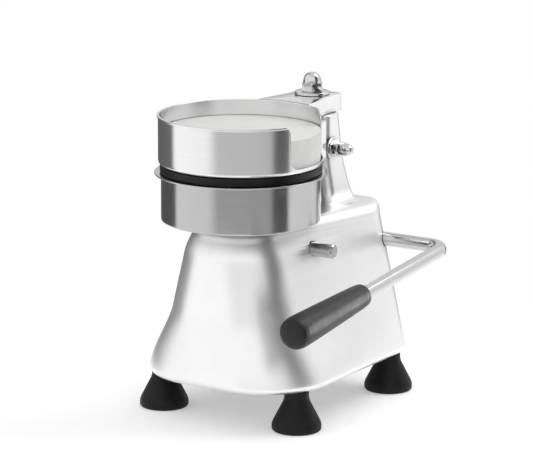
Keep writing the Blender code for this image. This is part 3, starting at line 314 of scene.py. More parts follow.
def stretched(tree, scale):
    """Object position scaled separately along each axis."""
    place_in = object_place(tree)
    mapping = node(tree, "ShaderNodeMapping", None, {"Vector": place_in, "Scale": scale})
    return mapping.outputs["Vector"]


def noise(tree, vector, scale, detail=4.0, rough=0.55):
    """Noise value over a vector."""
    made = node(
        tree,
        "ShaderNodeTexNoise",
        None,
        {"Vector": vector, "Scale": scale, "Detail": detail, "Roughness": rough},
    )
    return made.outputs["Fac"]


def ranged(tree, value, low, high, from_low=0.3, from_high=0.7):
    """Value mapped into a new range."""
    made = node(
        tree,
        "ShaderNodeMapRange",
        None,
        {"Value": value, 1: from_low, 2: from_high, 3: low, 4: high},
    )
    return made.outputs["Result"]


def ramp(tree, value, stops):
    """Colour ramp over (place, colour) stops."""
    made = node(tree, "ShaderNodeValToRGB", None, {"Fac": value})
    points = made.color_ramp.elements
    while len(points) < len(stops):
        points.new(0.5)
    for point, (spot, colour) in zip(points, stops):
        point.position = spot
        point.color = (*colour, 1.0)
    return made.outputs["Color"]


def grey(value):
    """Neutral colour."""
    return (value, value, value)


def mixed(tree, factor, first, second, blend="MIX"):
    """Blend of two colours."""
    made = node(
        tree,
        "ShaderNodeMix",
        {"data_type": "RGBA", "blend_type": blend},
        {0: factor, 6: first, 7: second},
    )
    return made.outputs[2]


def bump(tree, height, depth, strength=1.0, normal=None):
    """Bump from a height, with depth in millimetres."""
    inputs = {"Height": height, "Distance": depth * MM, "Strength": strength}
    if normal is not None:
        inputs["Normal"] = normal
    return node(tree, "ShaderNodeBump", None, inputs).outputs["Normal"]


def crevice(tree, distance):
    """Ambient occlusion used for painted shade: 1 in the open and lower in inside corners and under
    overhangs, within a distance in millimetres.
    """
    made = node(tree, "ShaderNodeAmbientOcclusion", {"samples": 8}, {"Distance": distance * MM})
    return made.outputs["AO"]


def math_node(tree, operation, first, second=0.0):
    """One arithmetic step."""
    made = node(tree, "ShaderNodeMath", {"operation": operation}, {0: first, 1: second})
    return made.outputs[0]


def around_axis(tree, centre, along, about):
    """Coordinates for turned or brushed rings: radius and height fine, angle coarse."""
    inputs = {"Vector": object_place(tree), "Location": -Vector((centre.x, centre.y, 0.0))}
    split = node(
        tree,
        "ShaderNodeSeparateXYZ",
        None,
        {0: node(tree, "ShaderNodeMapping", None, inputs).outputs["Vector"]},
    )
    x, y, z = (split.outputs[i] for i in range(3))
    square = math_node(tree, "ADD", math_node(tree, "MULTIPLY", x, x), math_node(tree, "MULTIPLY", y, y))
    radius = math_node(tree, "SQRT", square)
    angle = math_node(tree, "ARCTAN2", y, x)
    joined = node(
        tree,
        "ShaderNodeCombineXYZ",
        None,
        {
            0: math_node(tree, "MULTIPLY", radius, along),
            1: math_node(tree, "MULTIPLY", z, along),
            2: math_node(tree, "MULTIPLY", angle, about),
        },
    )
    return joined.outputs[0]


# ---- finishes ----------------------------------------------------------------------------------
def cast_finish(name, colour, roughness, grain):
    """Satin linished aluminium casting: fine grain, faint grinding lines, soft mottling, and painted
    shade in inside corners and under overhangs.
    """
    material, tree, shader = principled(name, 1.0)
    place_in = object_place(tree)
    mottle = noise(tree, place_in, 38.0, 5.0)
    cloud = noise(tree, place_in, 11.0, 3.0)
    fine = noise(tree, place_in, 2600.0, 2.0, 0.6)
    lines = noise(tree, stretched(tree, (2100.0, 2100.0, 70.0)), 1.0, 3.0, 0.5)
    darker = (*grey(colour * 0.965), 1.0)
    tint = mixed(tree, ranged(tree, mottle, 0.0, 1.0), darker, (*grey(colour), 1.0))
    # Painted shade: occlusion darkens the base colour in inside corners and under overhangs, such as the
    # casting's top under the mould ring.
    painted_corner_shade = ranged(tree, crevice(tree, 34.0), 0.35, 1.0, 0.25, 0.85)
    shaded = mixed(tree, 1.0, tint, painted_corner_shade, "MULTIPLY")
    tree.links.new(shaded, shader.inputs["Base Color"])
    spread = math_node(tree, "ADD", ranged(tree, cloud, -0.05, 0.05), ranged(tree, lines, -0.03, 0.04))
    tree.links.new(math_node(tree, "ADD", spread, roughness), shader.inputs["Roughness"])
    first = bump(tree, lines, 0.010, 0.35)
    tree.links.new(bump(tree, fine, 0.02, grain, first), shader.inputs["Normal"])
    return material


def ring_finish(name, centre, colour, roughness, line_depth=0.004, anisotropy=0.6):
    """Metal brushed or turned around an upright axis: hair lines, long streaks."""
    extra = {"Anisotropic": anisotropy, "Anisotropic Rotation": 0.25}
    material, tree, shader = principled(name, 1.0, extra)
    hair = noise(tree, around_axis(tree, centre, 3800.0, 5.0), 1.0, 3.0, 0.6)
    streak = noise(tree, around_axis(tree, centre, 420.0, 1.6), 1.0, 4.0, 0.6)
    smear = noise(tree, object_place(tree), 26.0, 3.0)
    tint = mixed(
        tree,
        ranged(tree, streak, 0.0, 1.0),
        (*grey(colour * 0.975), 1.0),
        (*grey(colour * 1.01), 1.0),
    )
    tree.links.new(tint, shader.inputs["Base Color"])
    spread = math_node(tree, "ADD", ranged(tree, hair, -0.03, 0.04), ranged(tree, smear, -0.02, 0.03))
    tree.links.new(math_node(tree, "ADD", spread, roughness), shader.inputs["Roughness"])
    tree.links.new(bump(tree, hair, line_depth, 0.25), shader.inputs["Normal"])
    tangent = node(tree, "ShaderNodeTangent", {"direction_type": "RADIAL", "axis": "Z"})
    tree.links.new(tangent.outputs["Tangent"], shader.inputs["Tangent"])
    return material


def polished_finish(name, colour, roughness, scale):
    """Polished steel: faint hair scratches along the work and soft smears."""
    material, tree, shader = principled(name, 1.0)
    scratch = noise(tree, stretched(tree, scale), 1.0, 3.0, 0.6)
    smear = noise(tree, object_place(tree), 60.0, 4.0)
    tint = mixed(tree, ranged(tree, smear, 0.0, 1.0), (*grey(colour * 0.95), 1.0), (*grey(colour), 1.0))
    tree.links.new(tint, shader.inputs["Base Color"])
    spread = math_node(tree, "ADD", ranged(tree, scratch, -0.02, 0.05), ranged(tree, smear, -0.02, 0.04))
    tree.links.new(math_node(tree, "ADD", spread, roughness), shader.inputs["Roughness"])
    tree.links.new(bump(tree, scratch, 0.004, 0.4), shader.inputs["Normal"])
    return material


def dull_metal_finish(name, colour, roughness):
    """Plated or sintered metal: mottled, with a fine crystalline grain."""
    material, tree, shader = principled(name, 1.0)
    place_in = object_place(tree)
    grain = noise(tree, place_in, 3200.0, 2.0, 0.6)
    mottle = noise(tree, place_in, 240.0, 4.0)
    darker = (*(0.82 * c for c in colour), 1.0)
    tint = mixed(tree, ranged(tree, mottle, 0.0, 1.0), darker, (*colour, 1.0))
    tree.links.new(tint, shader.inputs["Base Color"])
    tree.links.new(ranged(tree, mottle, roughness - 0.06, roughness + 0.08), shader.inputs["Roughness"])
    tree.links.new(bump(tree, grain, 0.02, 0.4), shader.inputs["Normal"])
    return material


def black_finish(name, colour, roughness, grain_scale, depth, specular):
    """Moulded black plastic, rubber or coating: fine grain, slight bloom and scuffs."""
    material, tree, shader = principled(name, 0.0, {"Specular IOR Level": specular})
    place_in = object_place(tree)
    grain = noise(tree, place_in, grain_scale, 3.0, 0.6)
    bloom = noise(tree, place_in, 45.0, 5.0)
    scuff = noise(tree, stretched(tree, (900.0, 140.0, 500.0)), 1.0, 3.0)
    lighter = (*(c * 1.8 + 0.002 for c in colour), 1.0)
    tint = mixed(tree, ranged(tree, bloom, 0.0, 0.6, 0.45, 0.8), (*colour, 1.0), lighter)
    tree.links.new(tint, shader.inputs["Base Color"])
    spread = math_node(tree, "ADD", ranged(tree, bloom, -0.04, 0.06), ranged(tree, scuff, -0.03, 0.05))
    tree.links.new(math_node(tree, "ADD", spread, roughness), shader.inputs["Roughness"])
    tree.links.new(bump(tree, grain, depth, 0.6), shader.inputs["Normal"])
    return material


def paper_finish(name):
    """White waxed paper: fibres on the face, leaf edges round the stack."""
    material, tree, shader = principled(name, 0.0, {"Specular IOR Level": 0.35})
    place_in = object_place(tree)
    fibre = noise(tree, stretched(tree, (900.0, 2200.0, 900.0)), 1.0, 4.0, 0.65)
    cloud = noise(tree, place_in, 70.0, 5.0)
    leaves = noise(tree, stretched(tree, (4.0, 4.0, 5200.0)), 1.0, 2.0, 0.7)
    tint = mixed(
        tree, ranged(tree, cloud, 0.0, 1.0), (0.80, 0.80, 0.785, 1.0), (0.86, 0.86, 0.85, 1.0)
    )
    lines = ranged(tree, leaves, 0.90, 1.0, 0.35, 0.55)
    tree.links.new(mixed(tree, 1.0, tint, lines, "MULTIPLY"), shader.inputs["Base Color"])
    tree.links.new(ranged(tree, fibre, 0.5, 0.68), shader.inputs["Roughness"])
    first = bump(tree, leaves, 0.05, 0.5)
    tree.links.new(bump(tree, fibre, 0.02, 0.35, first), shader.inputs["Normal"])
    return material


AXIS_POINT = middle("mould_ring")
FINISHES = {
    "cast_aluminium": cast_finish("satin_casting", 0.93, 0.36, 0.35),
    "turned_aluminium": ring_finish("turned_plate", AXIS_POINT, 0.86, 0.26, 0.02, 0.4),
    "brushed_stainless": ring_finish("brushed_stainless", AXIS_POINT, 0.84, 0.21),
    "polished_steel": polished_finish("polished_steel", 0.68, 0.10, (900.0, 900.0, 900.0)),
    "plated_steel": dull_metal_finish("plated_steel", grey(0.58), 0.3),
    "bronze": dull_metal_finish("bronze", (0.56, 0.37, 0.17), 0.36),
    "black_plate": black_finish("black_plate", grey(0.004), 0.36, 1600.0, 0.01, 0.3),
    "black_grip": black_finish("black_grip", grey(0.003), 0.40, 2200.0, 0.01, 0.4),
    "black_rubber": black_finish("black_rubber", grey(0.003), 0.50, 1400.0, 0.03, 0.25),
    "white_nylon": paper_finish("white_nylon"),
    "wax_paper": paper_finish("wax_paper"),
}
ARM_FINISH = cast_finish("linished_arm", 0.90, 0.15, 0.10)
MOULD_FINISH = ring_finish("brushed_mould", AXIS_POINT, 0.52, 0.17)
ROD_FINISH = polished_finish("polished_rod", 0.66, 0.12, (500.0, 500.0, 1500.0))
PIN_FINISH = polished_finish("ground_pin", 0.42, 0.2, (300.0, 1800.0, 1800.0))


def stand_for(piece, cad_node, finish=None):
    """Let a fine piece stand for a CAD node: same body, the procedural finish of the node's slot unless
    another finish is given.
    """
    piece.data.materials.clear()
    piece.data.materials.append(finish or FINISHES[SLOT_OF[cad_node]])
    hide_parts(cad_node)
    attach(piece, BODY_OF[cad_node])
    return piece


# ---- body casting ------------------------------------------------------------------------------
BODY_BASE_Z, WASHER_SEAT_Z = span("body_casting", 2)
COLUMN_TOP_Z = WASHER_SEAT_Z + 1.1
SHOULDER_Z = 160.0
FRONT_TOP = (2.0, 0.0, 41.0)
FRONT_BASE = (18.0, 3.5, 56.5)
FLARE_TOP_Z = 92.0
FLARE_END_Z = 40.0
FLARE_SPREAD = 4.5
FLARE_RADIUS = 5.0
REAR_CORNER_R = 26.0
REAR_HALF = (62.3, 82.0)
REAR_Y = (138.4, 154.9)
SHOULDER_ROUND_R = 10.0
SHOULDER_ROUND_FROM_Z = 156.0
BODY_WALL = 4.5
CEILING_Z = 162.0
FRONT_EASE = 4.0
FRONT_EASE_FROM_Z = 140.0
SEAT_PAD_R = 34.0
SEAT_PAD_Z = span("mould_ring", 2)[0] - 0.3
COLUMN_FRONT_Y = 94.0
COLUMN_HALF = (31.0, 25.0)
COLUMN_REAR_Y = (136.0, 120.5)
COLUMN_CORNERS = (9.0, 11.0)
COLUMN_FILLET_R = 12.0
COLUMN_TAPER_END_Z = 208.0
OUTLINE_STEPS = 22


def mirrored_outline(front, rear, steps=OUTLINE_STEPS):
    """Outline wrapped around two pairs of corner circles that mirror across X = 0."""
    dx = rear[0] - front[0]
    dy = rear[1] - front[1]
    lean = math.atan2(dx, dy) - math.asin((front[2] - rear[2]) / math.hypot(dx, dy))
    side = []
    for circle, start, end in (
        (front, -0.5 * math.pi, -lean),
        (rear, -lean, 0.5 * math.pi),
    ):
        x, y, radius = circle
        for k in range(steps + 1):
            angle = lerp(start, end, k / steps)
            side.append((x + radius * math.cos(angle), y + radius * math.sin(angle)))
    return side + [(-x, y) for x, y in reversed(side)]


def body_outline(z, inset=0.0, rear_inset=None):
    """Body outline at height z, moved inwards by inset; the rear face can move less."""
    fall = (SHOULDER_Z - z) / (SHOULDER_Z - BODY_BASE_Z)
    flare = smoothstep((FLARE_TOP_Z - z) / (FLARE_TOP_Z - FLARE_END_Z))
    x, y, radius = (lerp(a, b, fall) for a, b in zip(FRONT_TOP, FRONT_BASE))
    ease = FRONT_EASE * smoothstep((z - FRONT_EASE_FROM_Z) / 22.0)
    front = (x + FLARE_SPREAD * flare, y, radius + FLARE_RADIUS * flare - inset - ease)
    kept = 0.0 if rear_inset is None else inset - rear_inset
    rear = (
        lerp(*REAR_HALF, fall) - REAR_CORNER_R,
        lerp(*REAR_Y, fall) - REAR_CORNER_R + kept,
        REAR_CORNER_R - inset,
    )
    return mirrored_outline(front, rear)


def column_outline(z, spread=0.0):
    """Column outline at height z, its front and sides moved outwards by spread."""
    widen = smoothstep((COLUMN_TAPER_END_Z - z) / (COLUMN_TAPER_END_Z - SHOULDER_Z))
    half = lerp(COLUMN_HALF[1], COLUMN_HALF[0], widen)
    back = lerp(*COLUMN_REAR_Y, (z - SHOULDER_Z) / (COLUMN_TOP_Z - SHOULDER_Z))
    front_r, rear_r = COLUMN_CORNERS
    front = (half - front_r, COLUMN_FRONT_Y + front_r, front_r + spread)
    rear = (half - rear_r, back - rear_r - spread, rear_r + spread)
    return mirrored_outline(front, rear)


def body_rings():
    """Rings of the casting's outside, from the bottom rim up to the column's top face."""
    rings = []

    def ring(outline, z):
        rings.append([at(x, y, z) for x, y in outline])

    for k in range(8):
        rise = 6.0 * k / 8.0
        ring(body_outline(BODY_BASE_Z + rise, 3.4 * (1.0 - rise / 6.0) ** 2.6), BODY_BASE_Z + rise)
    levels = 44
    for k in range(levels + 1):
        z = lerp(BODY_BASE_Z + 6.0, SHOULDER_ROUND_FROM_Z, k / levels)
        ring(body_outline(z), z)
    for k in range(1, 13):
        angle = math.radians(84.0 * k / 12.0)
        inset = SHOULDER_ROUND_R * (1.0 - math.cos(angle))
        z = SHOULDER_ROUND_FROM_Z + SHOULDER_ROUND_R * math.sin(angle)
        ring(body_outline(SHOULDER_ROUND_FROM_Z, inset, 0.0), z)
    top_edge = body_outline(SHOULDER_ROUND_FROM_Z, SHOULDER_ROUND_R, 0.0)
    foot_z = SHOULDER_ROUND_FROM_Z + SHOULDER_ROUND_R
    fillet_foot = column_outline(foot_z, COLUMN_FILLET_R)
    for part in (0.03, 0.2, 0.4, 0.6, 0.8, 0.96):
        pairs = zip(top_edge, fillet_foot)
        ring([(lerp(a, c, part), lerp(b, d, part)) for (a, b), (c, d) in pairs], foot_z)
    for k in range(14):
        angle = math.radians(88.0 * k / 13.0)
        z = foot_z + 0.2 + COLUMN_FILLET_R * (1.0 - math.cos(angle))
        ring(column_outline(z, COLUMN_FILLET_R * (1.0 - math.sin(angle))), z)
    base_z = foot_z + COLUMN_FILLET_R + 1.5
    for k in range(21):
        z = lerp(base_z, COLUMN_TOP_Z - 1.0, k / 20.0)
        ring(column_outline(z), z)
    for angle_deg in (30.0, 60.0, 90.0):
        angle = math.radians(angle_deg)
        ring(column_outline(COLUMN_TOP_Z, math.cos(angle) - 1.0), COLUMN_TOP_Z - 1.0 + math.sin(angle))
    return rings


def cavity():
    """Solid in the shape of the hollow under the casting."""
    rings = []
    round_r = 10.0
    top = CEILING_Z - round_r
    for k in range(17):
        z = lerp(BODY_BASE_Z - 2.0, top, k / 16.0)
        rings.append([at(x, y, z) for x, y in body_outline(max(z, FLARE_END_Z), BODY_WALL)])
    for k in range(1, 7):
        angle = math.radians(87.0 * k / 6.0)
        inset = BODY_WALL + round_r * (1.0 - math.cos(angle))
        z = top + round_r * math.sin(angle)
        rings.append([at(x, y, z) for x, y in body_outline(top, inset)])
    return loft("cavity", rings)


def body_piece():
    """Hollow casting: tapered body, shoulder, column, its bosses and its bores."""
    shaft = centre_mm("shaft_bush_right")
    pin = centre_mm("fulcrum_ring_right")
    pivot = centre_mm("pivot_washer")
    clamp = centre_mm("clamp_washer_right")
    feet = [centre_mm(name) for name in BODY_OF if name.startswith("foot_bolt")]
    body = loft("body_casting_fine", body_rings())
    cut(body, cavity())
    fuse(
        body,
        rod("pad", SEAT_PAD_R, CEILING_Z - 2.0, SEAT_PAD_Z, RING_SEGMENTS),
        rod("guide_boss", 17.0, 154.3, SEAT_PAD_Z - 1.0),
    )
    for foot in feet:
        radius = 8.0 if foot.y < 0.0 else 12.5
        fuse(body, rod("boss", radius, BODY_BASE_Z, 47.0, 40, (foot.x, foot.y)))
    for side in (-1.0, 1.0):
        for spot, near, far in ((pin, 41.0, 48.2), (shaft, 44.0, 54.5)):
            low, high = sorted((side * near, side * far))
            fuse(body, rod("boss", 11.0, low, high, 40, (spot.y, spot.z), "X"))
    cut(
        body,
        rod("bore", 6.3, -51.3, 80.0, SMALL_SEGMENTS, (pin.y, pin.z), "X"),
        rod("bore", 6.6, -57.3, 80.0, SMALL_SEGMENTS, (shaft.y, shaft.z), "X"),
        rod("bore", 8.9, -56.0, 56.0, SMALL_SEGMENTS, (shaft.y, shaft.z), "X"),
        rod("bore", 11.3, 150.0, 175.0),
        rod("bore", 8.3, 192.0, COLUMN_TOP_Z + 5.0, SMALL_SEGMENTS, (pivot.x, pivot.y)),
        rod("washer_seat", 15.3, WASHER_SEAT_Z, COLUMN_TOP_Z + 5.0, 96, (pivot.x, pivot.y)),
        rod("bore", 4.3, -60.0, 60.0, SMALL_SEGMENTS, (clamp.y, clamp.z), "X"),
        rod("spot_face", 10.2, 25.2, 60.0, SMALL_SEGMENTS, (clamp.y, clamp.z), "X"),
        rod("spot_face", 10.2, -60.0, -25.2, SMALL_SEGMENTS, (clamp.y, clamp.z), "X"),
    )
    for foot in feet:
        cut(body, rod("hole", 3.3, BODY_BASE_Z - 3.0, 45.0, 24, (foot.x, foot.y)))
    return stand_for(body, "body_casting")


# ---- parts carried by the casting --------------------------------------------------------------
def foot_piece(name):
    """Conical rubber foot, hollow underneath, with a hole for its bolt."""
    spot = centre_mm(name)
    top = span(name, 2)[1]
    profile = [
        (15.6, 0.0, 0.4),
        (19.6, 0.0, 0.8),
        (20.7, 1.4, 0.6),
        (20.7, 5.0, 0.8),
        (19.9, 7.6, 0.8),
        (11.2, 24.6, 1.5),
        (10.3, 27.6, 0.8),
        (10.3, top, 0.5),
        (3.3, top, 0.2),
        (3.3, 16.0, 0.2),
        (6.6, 16.0, 0.3),
        (6.6, 8.0, 0.8),
        (12.0, 4.6, 1.0),
    ]
    return stand_for(turned(f"{name}_fine", profile, 96, (spot.x, spot.y), steps=6), name)


def mould_piece():
    """Drawn mould ring: outward rim, straight wall, rounded floor corner, guide hole."""
    low, high = span("mould_ring", 2)
    rim = span("mould_ring", 0)[1]
    inner = 65.0
    outer = 66.5
    guide = 11.3
    profile = [
        (guide, low, 0.2),
        (outer, low, 1.8),
        (outer, high - 1.2, 1.4),
        (rim, high - 1.2, 0.5),
        (rim, high, 0.5),
        (inner, high, 1.2),
        (inner, low + 2.0, 1.0),
        (guide, low + 2.0, 0.2),
    ]
    ring = turned("mould_ring_fine", profile, RING_SEGMENTS, steps=6)
    for name in BODY_OF:
        if name.startswith("mould_screw"):
            spot = centre_mm(name)
            sink = [
                (0.0, low - 1.0),
                (2.8, low - 1.0),
                (2.8, low + 0.2),
                (5.3, low + 2.4),
                (5.3, low + 4.0),
                (0.0, low + 4.0),
            ]
            cut(ring, turned("sink", sink, 32, (spot.x, spot.y)))
    return stand_for(ring, "mould_ring", MOULD_FINISH)


def fulcrum_piece():
    """Ground pin with two ring grooves and a chamfered free end."""
    low, high = span("fulcrum_pin", 0)
    spot = centre_mm("fulcrum_pin")
    pin_r = 6.0
    groove = 5.3
    near = 38.7
    far = 40.4
    profile = [(0.0, low), (pin_r - 0.8, low, 0.1), (pin_r, low + 0.8, 0.1)]
    for start, end in ((-far, -near), (near, far)):
        profile += [(pin_r, start), (groove, start), (groove, end), (pin_r, end)]
    profile += [(pin_r, high - 1.2, 0.25), (pin_r - 1.2, high, 0.3), (0.0, high)]
    item = turned("fulcrum_pin_fine", profile, SMALL_SEGMENTS, (spot.y, spot.z), "X")
    return stand_for(item, "fulcrum_pin", PIN_FINISH)


def washer_piece(name, outer, inner, axis, edge=0.35):
    """Flat washer with softened edges."""
    index = "XYZ".index(axis)
    spot = centre_mm(name)
    low, high = span(name, index)
    centre = (spot.y, spot.z) if axis == "X" else (spot.x, spot.y)
    profile = [(inner, low, 0.2), (outer, low, edge), (outer, high, edge), (inner, high, 0.2)]
    return stand_for(turned(f"{name}_fine", profile, 96, centre, axis), name)


def hexagon_body(name, flats, low, high, turn_deg=0.0):
    """Upright hexagon about the mould axis with turned corner chamfers."""
    wide = flats * 0.575
    narrow = flats * 0.515
    chamfer = [
        (0.0, low - 1.0),
        (narrow, low - 1.0),
        (wide, low + 0.9),
        (wide, high - 0.9),
        (narrow, high + 1.0),
        (0.0, high + 1.0),
    ]
    item = prism(name, hexagon(flats, turn_deg), low, high, "Z")
    combine(item, turned("chamfer", chamfer, SMALL_SEGMENTS), "INTERSECT")
    return item


def onto_axis(item, axis, centre):
    """Move a piece made upright on the mould axis onto its own axis."""
    if axis == "X":
        turn = Matrix.Rotation(math.radians(90.0), 4, "Y")
        shift = Matrix.Translation(at(0.0, *centre))
    else:
        turn = Matrix.Identity(4)
        shift = Matrix.Translation(at(*centre, 0.0))
    item.data.transform(shift @ turn @ Matrix.Translation(-ORIGIN))
    return item


def acorn_piece(name, flats, hexagon_height, hole_r, axis):
    """Acorn nut: chamfered hexagon and a tall dome over a blind hole."""
    index = "XYZ".index(axis)
    base, top = span(name, index)
    spot = centre_mm(name)
    centre = (spot.y, spot.z) if axis == "X" else (spot.x, spot.y)
    hex_top = base + hexagon_height
    dome_r = flats * 0.45
    dome = [(0.0, base + 1.0), (dome_r, base + 1.0)]
    for k in range(25):
        t = math.sin(math.radians(90.0 * k / 25.0))
        dome.append((dome_r * (1.0 - t**2.4) ** 0.42, lerp(hex_top, top, t)))
    dome.append((0.0, top))
    nut = hexagon_body(f"{name}_fine", flats, base, hex_top)
    fuse(nut, turned("dome", dome, SMALL_SEGMENTS))
    cut(nut, rod("hole", hole_r, base - 1.0, lerp(hex_top, top, 0.45), 48))
    onto_axis(nut, axis, centre)
    return stand_for(soften(nut, 0.22), name)


def clamp_bolt_piece():
    """Cross bolt: chamfered shank and hexagon head."""
    low, high = span("clamp_bolt", 0)
    spot = centre_mm("clamp_washer_right")
    head_high = low + 5.3
    head = hexagon_body("clamp_bolt_fine", 13.0, low, head_high, 30.0)
    shank = [(0.0, head_high - 1.0), (4.0, head_high - 1.0), (4.0, high - 0.6), (3.4, high), (0.0, high)]
    fuse(head, turned("shank", shank, 48))
    onto_axis(head, "X", (spot.y, spot.z))
    return stand_for(soften(head, 0.2), "clamp_bolt")


# ---- swivelling lid ----------------------------------------------------------------------------
CUP_LIP_R = -span("paper_magazine", 0)[0]
CUP_WALL_R = CUP_LIP_R - 0.9
CUP_FLOOR_Z, CUP_RIM_Z = span("paper_magazine", 2)
CUP_WALL = 1.2


ARM_FRONT_HALF = 25.0
ARM_REAR_HALF = 19.3
ARM_TAPER_Y = (68.0, 104.0)
ARM_CORNER_R = 4.0
ARM_EDGE_R = 1.4


def arm_plan(front, rear):
    """Plan outline of the bar: wide over the saddle, narrower and square around the pivot."""
    taper_from, taper_to = ARM_TAPER_Y
    side = [(ARM_FRONT_HALF, front), (ARM_FRONT_HALF, taper_from), (ARM_REAR_HALF, taper_to)]
    for k in range(9):
        angle = math.radians(90.0 * k / 8.0)
        across = ARM_REAR_HALF - ARM_CORNER_R + ARM_CORNER_R * math.cos(angle)
        side.append((across, rear - ARM_CORNER_R + ARM_CORNER_R * math.sin(angle)))
    return side + [(-x, y) for x, y in reversed(side)]


def arm_piece():
    """Cast arm: flat bar over the column, saddle behind the paper holder."""
    half = 27.0
    front = 50.0
    saddle_back = 80.0
    saddle_top = 240.8
    low, high = 241.4, span("swivel_arm", 2)[1]
    rear = span("swivel_arm", 1)[1]
    foot = span("swivel_arm", 2)[0]
    pivot = centre_mm("pivot_washer")
    outline = [
        (front, saddle_top - 8.0),
        (saddle_back - 2.0, saddle_top - 8.0),
        (saddle_back - 2.0, low),
        (rear + 2.0, low),
        (rear + 2.0, high),
        (front, high),
    ]
    bar = prism("swivel_arm_fine", outline, -half, half, "X")
    combine(bar, prism("plan", arm_plan(front - 2.0, rear), 220.0, 270.0, "Z"), "INTERSECT")
    bevelled(bar, ARM_EDGE_R, 5)
    wide = span("swivel_arm", 0)[1]
    corners = [
        (front - 2.0, foot),
        (saddle_back, foot),
        (saddle_back, saddle_top),
        (front - 2.0, saddle_top),
    ]
    saddle = bevelled(prism("saddle", corners, -wide, wide, "X"), ARM_EDGE_R, 5)
    fuse(bar, saddle)
    cut(
        bar,
        rod("clearance", CUP_LIP_R + 0.5, 200.0, 270.0, 256),
        rod("relief", 36.8, 200.0, 223.5, 128, (pivot.x, pivot.y)),
        rod("bore", 5.3, 235.0, 262.0, 48, (pivot.x, pivot.y)),
    )
    for name in BODY_OF:
        if name.startswith("lid_screw"):
            spot = centre_mm(name)
            cut(bar, rod("hole", 1.8, 45.0, 90.0, 24, (spot.x, spot.z), "Y"))
    return stand_for(bar, "swivel_arm", ARM_FINISH)


def notch_cutter():
    """Curved tool for the finger notch: rounded foot corners, flared mouth corners."""
    r = CUP_WALL_R
    foot_r = 8.0
    mouth_r = 8.0
    low = 219.0
    high = CUP_RIM_Z
    start = math.radians(-20.8)
    end = math.radians(47.0)
    width = (end - start) * r
    half = []
    for x, z, radius, first, step in (
        (width / 2 - foot_r, low + foot_r, foot_r, -90.0, 7.5),
        (width / 2 + mouth_r, high - mouth_r, mouth_r, 180.0, -7.5),
    ):
        for k in range(13):
            angle = math.radians(first + step * k)
            half.append((x + radius * math.cos(angle), z + radius * math.sin(angle)))
    half.append((width / 2 + mouth_r, high + 6.0))
    columns = [(-x, z) for x, z in half] + [(x, z) for x, z in reversed(half)]
    work = bmesh.new()
    shells = []
    for radius in (r - 9.0, r + 25.0):
        shell = []
        for along, z in columns:
            angle = (start + end) / 2.0 + along / r
            shell.append(work.verts.new(at(radius * math.cos(angle), radius * math.sin(angle), z)))
        shells.append(shell)
    count = len(columns)
    for i in range(count):
        j = (i + 1) % count
        work.faces.new((shells[0][i], shells[0][j], shells[1][j], shells[1][i]))
    for shell in shells:
        for i in range(count // 2 - 1):
            work.faces.new((shell[i], shell[i + 1], shell[count - 2 - i], shell[count - 1 - i]))
    bmesh.ops.triangulate(work, faces=work.faces)
    return add_object("notch", work)


def cup_piece():
    """Steel cup for the paper discs, with a rolled lip and a finger notch."""
    floor, rim = CUP_FLOOR_Z, CUP_RIM_Z
    inner = CUP_WALL_R - CUP_WALL
    profile = [
        (0.0, floor),
        (CUP_WALL_R, floor, 4.0),
        (CUP_WALL_R, rim - 1.9, 0.6),
        (CUP_LIP_R, rim - 1.3, 0.5),
        (CUP_LIP_R, rim, 0.7),
        (inner, rim, 0.5),
        (inner, floor + CUP_WALL, 2.8),
        (0.0, floor + CUP_WALL),
    ]
    cup = turned("paper_magazine_fine", profile, RING_SEGMENTS, steps=7)
    cut(cup, notch_cutter())
    for name in BODY_OF:
        spot = centre_mm(name)
        if name.startswith("lid_screw") and spot.z > floor:
            cut(cup, rod("hole", 1.8, 45.0, 90.0, 24, (spot.x, spot.z), "Y"))
        if name.startswith("lid_plate_screw"):
            cut(cup, rod("hole", 2.8, floor - 2.0, floor + 4.0, 24, (spot.x, spot.y)))
    return stand_for(soften(cup, 0.18), "paper_magazine")


def upper_plate_piece():
    """Black upper press plate."""
    low, high = span("upper_press_plate", 2)
    radius = span("upper_press_plate", 0)[1]
    profile = [(0.0, low), (radius, low, 0.9), (radius, high, 0.9), (0.0, high)]
    plate = turned("upper_press_plate_fine", profile, RING_SEGMENTS)
    for name in BODY_OF:
        spot = centre_mm(name)
        if name.startswith("lid_plate_screw"):
            cut(plate, rod("hole", 2.8, high - 4.5, high + 2.0, 24, (spot.x, spot.y)))
        if name.startswith("lid_screw") and spot.z < high:
            tip = span(name, 1)[0] - 0.5
            cut(plate, rod("hole", 1.8, tip, 90.0, 24, (spot.x, spot.z), "Y"))
    return stand_for(plate, "upper_press_plate")


def lower_plate_piece():
    """Lower press plate with its counterbore."""
    low, high = span("lower_press_plate", 2)
    radius = span("lower_press_plate", 0)[1]
    profile = [
        (5.0, low),
        (radius, low, 0.9),
        (radius, high, 0.9),
        (5.4, high, 0.3),
        (5.4, high - 2.4),
        (2.8, high - 2.4),
        (2.8, low + 5.2),
        (5.0, low + 5.2),
    ]
    plate = turned("lower_press_plate_fine", profile, RING_SEGMENTS)
    return stand_for(plate, "lower_press_plate")


def paper_piece():
    """Stack of loose paper discs: thin leaves that don't quite line up."""
    low, high = span("paper_disc_stack", 2)
    radius = span("paper_disc_stack", 0)[1]
    leaves = 36
    step = (high - low) / leaves
    profile = [(0.0, low)]
    for k in range(leaves):
        reach = radius - 0.14 - 0.12 * math.sin(k * 2.1) - 0.02 * math.sin(k * 5.3)
        profile.append((reach - 0.05, low + k * step + 0.04 * step))
        profile.append((reach, low + (k + 0.3) * step))
        profile.append((reach, low + (k + 0.7) * step))
        profile.append((reach - 0.05, low + (k + 0.96) * step))
    profile.append((0.0, high))
    return stand_for(turned("paper_disc_stack_fine", profile, RING_SEGMENTS), "paper_disc_stack")


